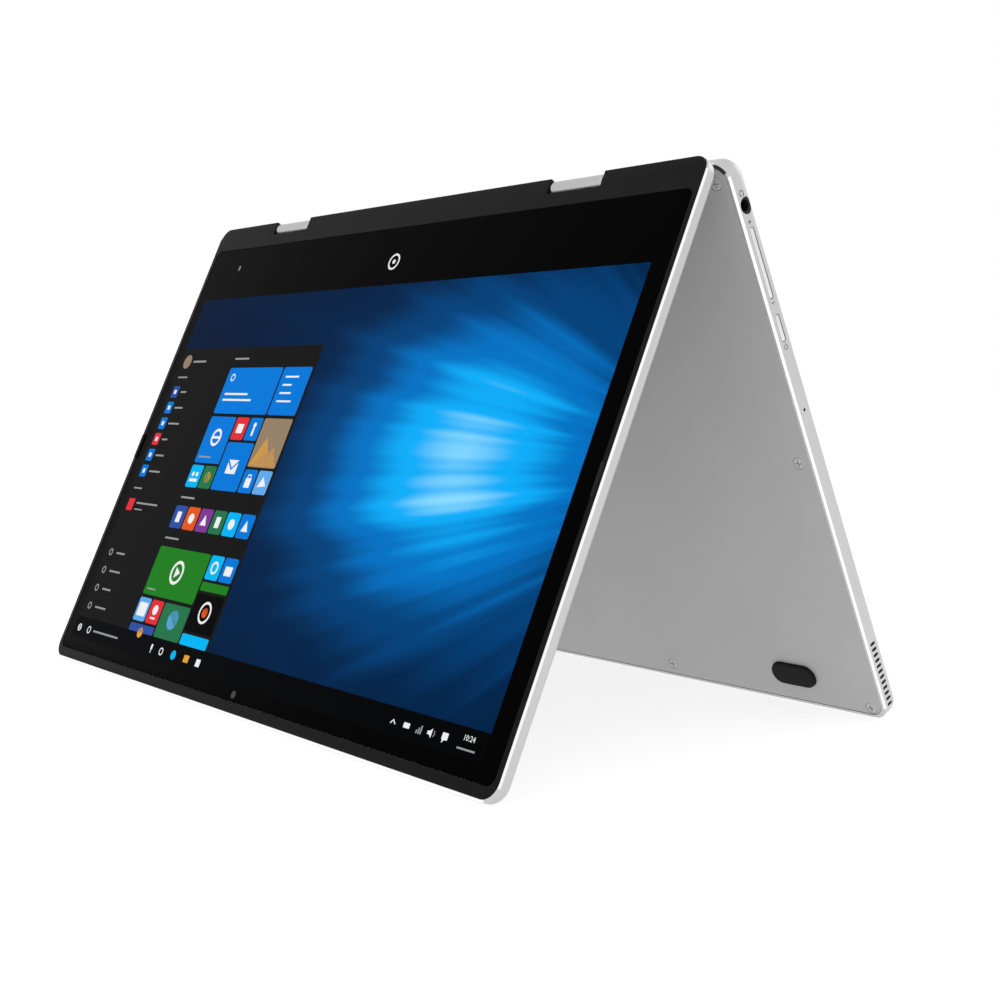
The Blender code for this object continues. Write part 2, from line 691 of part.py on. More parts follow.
def make_ports(base, finish):
    for name, y, z, width, height, wall, depth, radius in PORTS:
        mouth = PORT_FACE - HALF
        back = mouth + depth

        def ring(grow, x, y=y, z=z, width=width, height=height, radius=radius):
            outline = rounded_rect(y - width / 2 - grow, y + width / 2 + grow, z - height / 2 - grow,
                                   z + height / 2 + grow, radius + grow, 3)
            return [point("X", u, v, x) for u, v in outline]

        def shell(bm, ring=ring, wall=wall, mouth=mouth, back=back):
            skin(bm, [ring(wall, back), ring(wall, mouth), ring(0.0, mouth), ring(0.0, back - 1.0)])

        def tongue(bm, y=y, z=z, width=width, height=height, mouth=mouth, back=back, depth=depth):
            reach = width * (1 + PORT_TONGUE) / 4
            box(bm, mouth + depth * (1 - PORT_TONGUE) / 2, back - 0.5, y - reach, y + reach,
                z - 0.15 * height, z + 0.15 * height)

        obj = node(name, shell, base, finish)
        combine(obj, "UNION", tool(name + "_tongue_tool", tongue, base))


def make_base_inside(base, finishes):
    """Boards, battery, speakers and the keyboard's backing plate."""
    board_top = BOARD_Z + BOARD_THICK
    chip_top = board_top + CHIP_HEIGHT
    spreader_z = chip_top + REST_GAP
    part_top = min(board_top + PART_HEIGHT, KEY_PLATE_TOP - KEY_PLATE_THICK - REST_GAP)

    def main_parts(bm):
        low = board_top - 0.3
        box(bm, BOARD_X1 - 78.0, BOARD_X1 - 60.0, BOARD_Y0 + 14.0, BOARD_Y0 + 32.0, low, chip_top)
        for i in range(4):
            box(bm, BOARD_X1 - 48.0 + 11 * i, BOARD_X1 - 40.5 + 11 * i, BOARD_Y1 - 16.0, BOARD_Y1 - 6.0,
                low, chip_top)
        for x, y, w, d in (
                (BOARD_X0 + 14.0, BOARD_Y0 + 5.0, 9.0, 7.0),
                (BOARD_X0 + 14.0, BOARD_Y0 + 16.0, 6.0, 6.0),
                (BOARD_X0 + 14.0, BOARD_Y1 - 12.0, 12.0, 5.0),
                (BOARD_X1 - 10.0, BOARD_Y0 + 4.0, 8.0, 5.0)):
            box(bm, x, x + w, y, y + d, low, part_top)

    board = node("mainboard",
                 lambda bm: box(bm, BOARD_X0, BOARD_X1, BOARD_Y0, BOARD_Y1, BOARD_Z, board_top),
                 base, finishes["board"])
    combine(board, "UNION", tool("mainboard_parts_tool", main_parts, base))
    node("heat_spreader",
         lambda bm: prism(
             bm, rounded_rect(BOARD_X0 + 34.0, BOARD_X1 - 14.0, BOARD_Y0 + 10.0, BOARD_Y1 - 18.0, 3.0, 3),
             spreader_z, spreader_z + SPREADER_THICK),
         base, finishes["copper"])

    def card(x0, x1, y0, y1, height):
        def build(bm):
            box(bm, x0, x1, y0, y1, BOARD_Z, BOARD_Z + BOARD_THICK)

        def chips(bm):
            third = (y1 - y0) / 3
            for y in (y0 + 0.3 * third, y0 + 1.7 * third):
                box(bm, x0 + 4, x1 - 4, y, y + third, BOARD_Z + 0.4, BOARD_Z + height)
        return build, chips

    for name, size in (("ssd_module", (BOARD_X1 + 4.0, BOARD_X1 + 48.0, 26.0, 56.0, 2.0)),
                       ("wifi_card", (BOARD_X1 + 52.0, BOARD_X1 + 78.0, 26.0, 56.0, 1.6))):
        build, chips = card(*size)
        combine(node(name, build, base, finishes["board"]), "UNION", tool(name + "_chip_tool", chips, base))

    plate_x = KEY_UNITS * KEY_PITCH / 2 - KEY_PLATE_MARGIN
    node("keyboard_plate",
         lambda bm: plate(bm, [rounded_rect(-plate_x, plate_x, FUNCTION_Y, KEYS_END, 2.0, 3)]
                          + [circle(x, ROWS_Y + i * ROW_PITCH - KEY_GAP / 2, 1.5, 8)
                             for i in (1, 3) for x in (-90.0, -30.0, 30.0, 90.0)],
                          KEY_PLATE_TOP - KEY_PLATE_THICK, KEY_PLATE_TOP),
         base, finishes["steel"])
    battery_top = WEB_TOP - PAD_BOARD_THICK - REST_GAP - (PAD_Y1 - PAD_Y0) * math.sin(math.radians(PAD_TILT))
    battery_x = HALF - BATTERY_INSET
    node("battery",
         lambda bm: prism(
             bm, rounded_rect(-battery_x, battery_x, PAD_Y0 - 3.0, REACH - BATTERY_FRONT, 2.0, 3),
             BATTERY_Z, battery_top),
         base, finishes["black"])
    for name, side in (("speaker_left", 1), ("speaker_right", -1)):
        x0, x1 = sorted((side * (HALF - SPEAKER_INSET), side * (HALF - SPEAKER_INSET - SPEAKER_WIDTH)))
        node(name,
             lambda bm, x0=x0, x1=x1: prism(
                 bm, rounded_rect(x0, x1, REACH - SPEAKER_FRONT - SPEAKER_LENGTH, REACH - SPEAKER_FRONT,
                                  1.5, 3), BATTERY_Z, SPEAKER_TOP),
             base, finishes["black"])


# ---------------------------------------------------------------- hinges
def along_hinge(side, *inward):
    """Distances along the hinge from the inner end of a housing, as sorted x values."""
    return sorted(side * (HINGE_X0 + value) for value in inward)


def make_arm(name, side, body, axis_z, front, finish):
    """Shaft with its friction washers, and the bracket that it grows out of."""
    def bracket(bm):
        x0, x1 = along_hinge(side, -NOTCH_SIDE - NOTCH_WALL - REST_GAP,
                             -NOTCH_SIDE - NOTCH_WALL - REST_GAP - ARM_LENGTH)
        holes = [circle(x0 + (x1 - x0) * share, front - 2.6, ARM_HOLE_R, 10) for share in (0.2, 0.5, 0.8)]
        outline = [(x0, -ARM_BACK), (x1, -ARM_BACK), (x1, front), (x0, front)]
        plate(bm, [outline] + holes, axis_z - ARM_THICK / 2, axis_z + ARM_THICK / 2)

    def shaft(bm):
        length = HINGE_X1 - HINGE_X0
        ends = [(-NOTCH_SIDE - NOTCH_WALL - REST_GAP - 4.0, SHAFT_R), (WASHER_X0, SHAFT_R),
                (WASHER_X0, WASHER_R), (WASHER_X1, WASHER_R), (WASHER_X1, SHAFT_R),
                (length - HOUSING_END - SHAFT_TAIL, SHAFT_R)]
        turned(bm, 0.0, axis_z, [(side * (HINGE_X0 + x), r) for x, r in ends], "X", 12)

    arm = node(name, bracket, body, finish)
    combine(arm, "UNION", tool(name + "_shaft_tool", shaft, body))


def make_gear(name, side, body, centre_z, bore, tooth_angle, finish, pivot=None):
    def gear(bm):
        x0, x1 = along_hinge(side, GEAR_X0, GEAR_X0 + GEAR_WIDTH)
        plate(bm, [gear_outline(0.0, centre_z, tooth_angle), circle(0.0, centre_z, bore, 10)], x0, x1, "X")

    node(name, gear, body, finish, pivot)


def make_housing(name, side, link, finish):
    def outer(bm):
        length = HINGE_X1 - HINGE_X0
        levels = ((0.0, -HOUSING_END_R), (HOUSING_END_R, 0.0), (length - HOUSING_END_R, 0.0),
                  (length, -HOUSING_END_R))
        skin(bm, [[point("X", u, v, side * (HINGE_X0 + x))
                   for u, v in stadium(HOUSING_R + grow, 0, AXIS_SPACING)] for x, grow in levels])

    def cavity(bm):
        x0, x1 = along_hinge(side, HOUSING_END, HINGE_X1 - HINGE_X0 - HOUSING_END)
        prism(bm, stadium(HOUSING_R - HOUSING_WALL, 0.0, AXIS_SPACING), x0, x1, "X")

    def bores(bm):
        x0, x1 = along_hinge(side, -1.0, HOUSING_END + 0.5)
        for z in (0.0, AXIS_SPACING):
            prism(bm, circle(0.0, z, SHAFT_R + RUN_GAP, 14), x0, x1, "X")

    def pins(bm):
        x0, x1 = along_hinge(side, HOUSING_END / 2, GEAR_X0 + GEAR_WIDTH + 0.6)
        for share in (1 / 3, 2 / 3):
            prism(bm, circle(0.0, AXIS_SPACING * share, PIN_R, 10), x0, x1, "X")

    housing = node(name, outer, link, finish)
    combine(housing, "DIFFERENCE", tool(name + "_cavity_tool", cavity, link),
            tool(name + "_bore_tool", bores, link))
    combine(housing, "UNION", tool(name + "_pin_tool", pins, link))


def make_hinges(base, link, lid, finishes):
    bore = SHAFT_R + RUN_GAP
    half_pitch = math.pi / GEAR_TEETH
    for word, side in (("left", 1), ("right", -1)):
        make_arm("base_hinge_arm_" + word, side, base, BASE_AXIS_Z, BASE_ARM_FRONT, finishes["steel"])
        make_arm("lid_hinge_arm_" + word, side, lid, LID_AXIS_Z, LID_ARM_FRONT, finishes["steel"])
        make_gear("base_gear_" + word, side, base, BASE_AXIS_Z, bore, HALF_OPENING, finishes["brass"])
        make_gear("lid_gear_" + word, side, lid, LID_AXIS_Z, bore, half_pitch - HALF_OPENING,
                  finishes["brass"])
        for i in (1, 2):
            z = AXIS_SPACING * i / 3
            make_gear("idler_gear_%d_%s" % (i, word), side, link, z, PIN_R + RUN_GAP,
                      half_pitch if i == 1 else 0.0, finishes["brass"], (0.0, 0.0, z))
        make_housing("hinge_housing_" + word, side, link, finishes["aluminium"])


# ---------------------------------------------------------------- lid
def make_back_cover(lid, finish):
    """Tray that holds the panel; its rim frames the bezel, which reaches past it at the hinge edge."""
    floor = BEZEL_THICK + REST_GAP

    def opening(bm):
        half_loft(bm, [(-2.0, LID_WALL), (floor, LID_WALL)], LID_REAR + LID_WALL + BEZEL_GAP, LID_REACH)

    def cavity(bm):
        half_loft(bm, [(floor - 0.5, LID_INNER_WALL), (LID_THICK - LID_BACK, LID_INNER_WALL)], LID_REAR,
                  LID_REACH)

    cover = node("lid_back_cover", lambda bm: half_loft(bm, LID_LEVELS, LID_REAR, LID_REACH), lid, finish)
    hollow = tool("lid_cavity_tool", cavity, lid)
    walls = tool("lid_notch_wall_tool",
                 lambda bm: notch_shape(bm, NOTCH_WALL, NOTCH_WALL, floor, LID_THICK + 2.0), lid)
    combine(hollow, "DIFFERENCE", walls)
    combine(cover, "DIFFERENCE", hollow, tool("lid_opening_tool", opening, lid),
            tool("lid_notch_tool", lambda bm: notch_shape(bm, 0.0, 0.0, -3.0, LID_THICK + 3.0), lid),
            tool("lid_shaft_slot_tool", lambda bm: shaft_slots(bm, LID_AXIS_Z, 3.0), lid))


def glass_outline(grow, steps=4):
    half = HALF - GLASS_EDGE + grow
    far = LID_REACH - GLASS_FAR + grow
    return rounded_rect(-half, half, BEZEL_STRIP - grow, far, GLASS_CORNER + grow, steps)


def bumper_box(bm, side, grow, low, high):
    middle = HALF - (LID_WALL + BEZEL_GAP + BEZEL_EDGE + GLASS_EDGE - BEZEL_GAP) / 2
    x0, x1 = sorted((side * (middle - BUMPER_WIDTH / 2 - grow), side * (middle + BUMPER_WIDTH / 2 + grow)))
    prism(bm, rounded_rect(x0, x1, BUMPER_Y0 - grow, BUMPER_Y0 + BUMPER_LENGTH + grow,
                           BUMPER_WIDTH / 2 + grow - 0.01, 3), low, high)


def make_bezel(lid, finish, rubber):
    """Plastic strip along the hinge, in one piece with the gasket round the glass."""
    inset = LID_WALL + BEZEL_GAP

    def sheet(bm):
        half_loft(bm, [(0.0, inset + BEZEL_EDGE), (BEZEL_EDGE, inset), (BEZEL_THICK, inset)],
                  LID_REAR + inset, LID_REACH)

    def pockets(bm):
        for side in (1, -1):
            bumper_box(bm, side, BEZEL_GAP, -1.0, BUMPER_SET + REST_GAP)

    bezel = node("bezel_frame", sheet, lid, finish)
    combine(bezel, "DIFFERENCE",
            tool("bezel_window_tool", lambda bm: prism(bm, glass_outline(BEZEL_GAP), -2.0, 4.0), lid),
            tool("bezel_notch_tool", lambda bm: notch_shape(bm, 0.0, 0.0, -2.0, 4.0), lid),
            tool("bumper_pocket_tool", pockets, lid))
    for word, side in (("left", 1), ("right", -1)):
        node("lid_bumper_" + word,
             lambda bm, side=side: bumper_box(bm, side, 0.0, -BUMPER_PROUD, BUMPER_SET), lid, rubber)


def make_display(lid, finishes):
    panel_z = GLASS_DROP + GLASS_THICK + REST_GAP
    node("display_glass", lambda bm: prism(bm, glass_outline(0.0), GLASS_DROP, GLASS_DROP + GLASS_THICK),
         lid, finishes["glass"])
    panel_x = HALF - PANEL_EDGE
    node("lcd_panel",
         lambda bm: box(bm, -panel_x, panel_x, BEZEL_STRIP + 1.3, LID_REACH - PANEL_FAR, panel_z,
                        panel_z + PANEL_THICK),
         lid, finishes["black"])
    camera_y = LID_REACH - PANEL_FAR + REST_GAP
    node("webcam_module",
         lambda bm: box(bm, -CAMERA_WIDTH / 2, CAMERA_WIDTH / 2, camera_y, camera_y + CAMERA_DEPTH, panel_z,
                        panel_z + PANEL_THICK),
         lid, finishes["board"])


# ---------------------------------------------------------------- the laptop
def main():
    clear_scene()
    angle, base_axis = stand()
    base = frame_empty("base_frame", None, base_axis, angle, (0.0, 0.0, BASE_AXIS_Z))
    link = frame_empty("link_frame", base, (0.0, 0.0, 0.0), HALF_OPENING, (0.0, 0.0, 0.0))
    lid = frame_empty("lid_frame", link, (0.0, 0.0, AXIS_SPACING), HALF_OPENING, (0.0, 0.0, LID_AXIS_Z))
    finishes = {
        "aluminium": material("anodised_aluminium", (0.62, 0.62, 0.63), 0.35, 1.0),
        "grey": material("painted_cover", (0.34, 0.34, 0.35), 0.5, 0.6),
        "black": material("black_plastic", (0.03, 0.03, 0.032), 0.55),
        "strip": material("bezel_plastic", (0.045, 0.045, 0.047), 0.6),
        "keys": material("key_plastic", (0.02, 0.02, 0.022), 0.5),
        "rubber": material("rubber", (0.025, 0.025, 0.025), 0.8),
        "glass": material("display_glass", (0.005, 0.005, 0.006), 0.03),
        "steel": material("steel", (0.5, 0.5, 0.52), 0.3, 1.0),
        "brass": material("brass", (0.75, 0.55, 0.25), 0.3, 1.0),
        "copper": material("copper", (0.8, 0.4, 0.25), 0.3, 1.0),
        "board": material("circuit_board", (0.02, 0.12, 0.06), 0.5),
        "pad": material("touchpad_glass", (0.3, 0.3, 0.31), 0.3),
    }
    make_top_case(base, finishes["aluminium"])
    make_bottom_cover(base, finishes["grey"])
    make_feet(base, finishes["rubber"])
    make_screws(base, finishes["steel"])
    make_keys(base, finishes["keys"])
    make_touchpad(base, finishes["pad"])
    make_side_controls(base, finishes["aluminium"], finishes["board"], finishes["black"])
    make_ports(base, finishes["steel"])
    make_base_inside(base, finishes)
    make_hinges(base, link, lid, finishes)
    make_back_cover(lid, finishes["aluminium"])
    make_bezel(lid, finishes["strip"], finishes["rubber"])
    make_display(lid, finishes)
    return base, link, lid


main()
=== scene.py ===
"""Looks of the convertible laptop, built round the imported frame.

Each half is drawn in its own frame in millimetres, as in the CAD: x along the hinge, y from the hinge
axis to the far edge, z from the bottom cover to the keyboard (base) or from the glass plane to the
back cover (lid).  The user's left is +x.
"""
import json
import math

import bmesh
import bpy
from mathutils import Matrix, Vector


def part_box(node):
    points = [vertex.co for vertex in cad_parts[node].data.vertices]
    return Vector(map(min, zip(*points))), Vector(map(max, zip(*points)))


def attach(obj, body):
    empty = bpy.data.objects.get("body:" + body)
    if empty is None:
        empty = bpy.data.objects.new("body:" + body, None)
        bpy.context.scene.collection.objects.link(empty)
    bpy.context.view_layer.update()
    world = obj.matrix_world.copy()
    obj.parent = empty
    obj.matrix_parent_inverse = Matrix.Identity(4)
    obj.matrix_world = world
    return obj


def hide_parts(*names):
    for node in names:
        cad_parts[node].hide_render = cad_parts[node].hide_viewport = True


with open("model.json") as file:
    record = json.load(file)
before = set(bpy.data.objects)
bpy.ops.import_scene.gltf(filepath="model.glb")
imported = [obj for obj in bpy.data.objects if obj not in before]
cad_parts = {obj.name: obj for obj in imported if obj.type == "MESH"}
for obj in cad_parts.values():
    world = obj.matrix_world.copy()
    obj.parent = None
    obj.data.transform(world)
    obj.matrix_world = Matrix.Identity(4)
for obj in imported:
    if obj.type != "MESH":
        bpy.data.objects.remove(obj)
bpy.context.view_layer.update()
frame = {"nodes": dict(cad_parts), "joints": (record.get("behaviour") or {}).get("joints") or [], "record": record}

MM = 0.001

# ---- frames of the three bodies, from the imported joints
JOINTS = {joint["name"]: joint for joint in frame["joints"]}
AXIS_BASE = Vector(JOINTS["base_to_link"]["pos_m"])
AXIS_LID = Vector(JOINTS["link_to_lid"]["pos_m"])
AXIS_SPACING = (AXIS_LID - AXIS_BASE).length / MM
HALF_OPENING = -math.radians(JOINTS["base_to_link"]["range_deg"][0])
BASE_UP = -Vector(JOINTS["space_bar_press"]["axis"])
BASE_ANGLE = math.atan2(-BASE_UP.y, BASE_UP.z)
BASE_AXIS_Z = 2.95
LID_AXIS_Z = 2.45


def body_frame(origin, angle, axis_height):
    return (Matrix.Translation(origin) @ Matrix.Rotation(angle, 4, "X")
            @ Matrix.Translation((0.0, 0.0, -axis_height * MM)))


FRAMES = {
    "base": body_frame(AXIS_BASE, BASE_ANGLE, BASE_AXIS_Z),
    "hinge_link": body_frame(AXIS_BASE, BASE_ANGLE + HALF_OPENING, 0.0),
    "lid": body_frame(AXIS_LID, BASE_ANGLE + 2 * HALF_OPENING, LID_AXIS_Z),
}

# ---- sizes shared with the CAD, millimetres
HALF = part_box("top_case")[1].x / MM
REACH = 184.1
LID_REACH = REACH - 0.7
CORNER_R = 6.0
BASE_THICK, BASE_REAR, BASE_EDGE_R, BASE_CHAMFER = 7.6, 3.0, 4.0, 0.6
LID_THICK, LID_REAR, LID_EDGE_R, LID_CHAMFER = 4.9, 2.6, 2.7, 0.5
BASE_WALL, DECK, COVER_THICK = 1.5, 1.2, 1.0
DECK_UNDER = BASE_THICK - DECK
HINGE_X0, HINGE_X1, HOUSING_R = 70.0, 93.3, 2.4
NOTCH_SIDE, NOTCH_WALL, NOTCH_Y = 0.6, 1.25, 3.0
KEY_UNITS, KEYS_INSET = 15, 10.0
KEY_PITCH, KEY_GAP, ROW_PITCH = 2 * (HALF - KEYS_INSET) / KEY_UNITS, 2.4, 17.0
FUNCTION_Y, FUNCTION_DEPTH, ROWS_Y = 16.0, 9.0, 27.4
KEYS_END = ROWS_Y + 5 * ROW_PITCH - KEY_GAP
WELL_DEPTH, WELL_MARGIN = 0.5, 0.6
PAD_HALF, PAD_Y0, PAD_Y1 = 49.0, KEYS_END + 10.0, REACH - 9.1
SIDE_Z, JACK_Y, JACK_Z, JACK_R, JACK_FACE_R = 2.75, 11.1, 3.4, 2.04, 2.38
ROCKER_Y, ROCKER_LENGTH, POWER_Y, POWER_LENGTH, BUTTON_HEIGHT = 28.3, 22.0, 48.4, 8.6, 1.9
MIC_Y, SLOT_COUNT, SLOT_PITCH, SLOT_WIDTH, SLOT_HEIGHT, SLOT_END = 74.7, 12, 2.03, 1.0, 2.4, 4.9
# ports in the right side wall: (y, z, width, height, wall, corner radius)
PORTS = [(24.0, 3.0, 8.4, 2.7, 0.3, 1.3), (40.0, 3.0, 6.5, 2.4, 0.3, 0.4),
         (60.0, 2.8, 11.6, 1.3, 0.4, 0.2), (KEYS_END + 18.0, 3.7, 12.2, 4.2, 0.3, 0.3)]
POST_X, POST_REAR_Y, POST_FRONT_Y = HALF - 5.9, 3.0, REACH - 4.0
POST_MID_X, POST_MID_Y = 43.4, REACH - 6.0
POSTS = [(side * x, y) for side in (1, -1) for x, y in (
    (POST_X, POST_REAR_Y), (POST_X, (POST_REAR_Y + POST_FRONT_Y) / 2), (POST_X, POST_FRONT_Y),
    (POST_MID_X, POST_MID_Y))]
FOOT_X, FOOT_REAR_Y, FOOT_FRONT_Y = HALF - 34.6, 16.0, REACH - 12.0
FEET = {"foot_front_left": (FOOT_X, FOOT_FRONT_Y), "foot_front_right": (-FOOT_X, FOOT_FRONT_Y),
        "foot_rear_left": (FOOT_X, FOOT_REAR_Y), "foot_rear_right": (-FOOT_X, FOOT_REAR_Y)}
FOOT_HALF_X, FOOT_HALF_Y, FOOT_HEIGHT = 8.9, 4.0, 1.3
STRIP_Y = 7.7
GLASS_EDGE, GLASS_FAR, GLASS_CORNER, GLASS_Z = 2.7, 4.2, 3.0, 0.15
RIM, INNER_WALL, BEZEL_GAP, BEZEL_EDGE = 0.6, 1.3, 0.08, 0.35
SCREEN_X, SCREEN_TOP, SCREEN_HEIGHT = 128.05, 30.1, 144.1
SCREEN_SHIFT = -1.1         # middle of the lit picture from the middle of the lid
BUMPER_Y0, BUMPER_LENGTH, BUMPER_HALF_X = 89.4, 10.4, 0.75
LEGEND_Z = 7.48             # in the dish of the key caps
HOME_Y, WEBCAM_Y = 21.1, LID_REACH - 6.5
SENSOR_X, SENSOR_Y, SENSOR_HALF_X, SENSOR_HALF_Y = -110.6, 16.5, 0.7, 1.1

# rows of keys: widths in units, then labels, from the user's left
FULL_ROWS = {
    "key_row_numbers": ([1.0] * 13 + [2.0], list("`1234567890-=") + ["Backspace"]),
    "key_row_upper": ([1.5] + [1.0] * 12 + [1.5], ["Tab"] + list("QWERTYUIOP[]") + ["\\"]),
    "key_row_home": ([1.75] + [1.0] * 11 + [2.25], ["Caps"] + list("ASDFGHJKL;'") + ["Enter"]),
    "key_row_lower": ([2.25] + [1.0] * 10 + [2.75], ["Shift"] + list("ZXCVBNM,./") + ["Shift"]),
}
FUNCTION_ROW = ([1.0] * KEY_UNITS, ["Esc"] + ["F%d" % n for n in range(1, 13)] + ["Ins", "Del"])
BOTTOM_ROW = ([1.25, 1.0, 1.0, 1.25, 5.25, 1.25, 1.0, 1.0, 1.0, 1.0],
              ["Ctrl", "Fn", "Sys", "Alt", "", "Alt", "Ctrl", "<", "^", ">"])
BOTTOM_GROUPS, SPACE_INDEX = ("key_row_bottom_left", "space_bar", "key_row_bottom_right"), 4


# ------------------------------ materials
GLASS_SPECULAR = 0.006
GLOW_X, GLOW_Y = 73.0, SCREEN_TOP + 61.0            # middle of the glow on the lid
GLOW_HALF_X, GLOW_HALF_Y = 70.0, 48.0
SOURCE_X, SOURCE_Y = 190.0, SCREEN_TOP + 60.0       # where the beams fan out from


def shader_material(name, colour, roughness, metallic=0.0, specular=0.5):
    """A Principled material and its node tools: (material, tree, shader)."""
    made = bpy.data.materials.new(name)
    made.use_nodes = True
    tree = made.node_tree
    shader = tree.nodes["Principled BSDF"]
    shader.inputs["Base Color"].default_value = (*colour, 1.0)
    shader.inputs["Roughness"].default_value = roughness
    shader.inputs["Metallic"].default_value = metallic
    shader.inputs["Specular IOR Level"].default_value = specular
    return made, tree, shader


def object_noise(tree, scale, detail=3.0, stretch=(1.0, 1.0, 1.0)):
    """Noise factor over the object's own coordinates, in metres."""
    place = tree.nodes.new("ShaderNodeTexCoord")
    mapping = tree.nodes.new("ShaderNodeMapping")
    mapping.inputs["Scale"].default_value = stretch
    noise = tree.nodes.new("ShaderNodeTexNoise")
    noise.inputs["Scale"].default_value = scale
    noise.inputs["Detail"].default_value = detail
    tree.links.new(place.outputs["Object"], mapping.inputs["Vector"])
    tree.links.new(mapping.outputs["Vector"], noise.inputs["Vector"])
    return noise.outputs["Fac"]


def spread(tree, factor, low, high):
    """Maps a factor onto the range low to high."""
    node = tree.nodes.new("ShaderNodeMapRange")
    node.inputs["From Min"].default_value = 0.25
    node.inputs["From Max"].default_value = 0.75
    node.inputs["To Min"].default_value = low
    node.inputs["To Max"].default_value = high
    tree.links.new(factor, node.inputs["Value"])
    return node.outputs["Result"]


def tint(tree, shader, factor, low, high):
    """Base colour between two colours by a factor."""
    mix = tree.nodes.new("ShaderNodeMix")
    mix.data_type = "RGBA"
    mix.inputs["A"].default_value = (*low, 1.0)
    mix.inputs["B"].default_value = (*high, 1.0)
    tree.links.new(spread(tree, factor, 0.0, 1.0), mix.inputs["Factor"])
    tree.links.new(mix.outputs["Result"], shader.inputs["Base Color"])


def grain(tree, shader, factor, height, strength=0.6):
    """Bump from a factor; height is the depth of the grain in metres."""
    bump = tree.nodes.new("ShaderNodeBump")
    bump.inputs["Strength"].default_value = strength
    bump.inputs["Distance"].default_value = height
    tree.links.new(factor, bump.inputs["Height"])
    tree.links.new(bump.outputs["Normal"], shader.inputs["Normal"])


def metal(name, colour, roughness, bead=9000.0, depth=4e-6, stretch=(1.0, 1.0, 1.0), metallic=1.0,
          shade=0.02):
    """Bead-blasted, brushed or painted metal: fine grain, soft patches of tone and gloss."""
    made, tree, shader = shader_material(name, colour, roughness, metallic)
    fine = object_noise(tree, bead, 2.0, stretch)
    cloud = object_noise(tree, 35.0, 2.0)
    tint(tree, shader, cloud, [c * (1 - shade) for c in colour],
         [min(1.0, c * (1 + shade)) for c in colour])
    tree.links.new(spread(tree, fine, roughness - 0.05, roughness + 0.06), shader.inputs["Roughness"])
    grain(tree, shader, fine, depth)
    return made


def plastic(name, colour, roughness, bead=5000.0, depth=6e-6, specular=0.4, shade=0.12):
    """Moulded plastic, rubber or ink: fine grain, soft patches of tone and gloss."""
    made, tree, shader = shader_material(name, colour, roughness, 0.0, specular)
    fine = object_noise(tree, bead, 2.0)
    cloud = object_noise(tree, 60.0, 2.0)
    tint(tree, shader, cloud, [c * (1 - shade) for c in colour], [c * (1 + shade) for c in colour])
    tree.links.new(spread(tree, fine, roughness - 0.06, roughness + 0.06), shader.inputs["Roughness"])
    grain(tree, shader, fine, depth)
    return made


def black_glass():
    """Unlit cover glass, black, with soft smears; it mirrors little."""
    made, tree, shader = shader_material("cover_glass", (0.0008, 0.0008, 0.001), 0.04, 0.0, GLASS_SPECULAR)
    smear = object_noise(tree, 18.0, 3.0)
    tree.links.new(spread(tree, smear, 0.03, 0.06), shader.inputs["Roughness"])
    return made


def lit(name, colour, strength=1.0):
    """Glowing part drawn on the face of the glass: the lit picture, and also the painted glow of the home mark and
    the light sensor.
    """
    made, tree, shader = shader_material(name, (0.0, 0.0, 0.0), 0.06, 0.0, GLASS_SPECULAR)
    shader.inputs["Emission Color"].default_value = (*colour, 1.0)
    shader.inputs["Emission Strength"].default_value = strength
    fine = object_noise(tree, 30000.0, 0.0)
    tree.links.new(spread(tree, fine, 0.05, 0.07), shader.inputs["Roughness"])
    return made


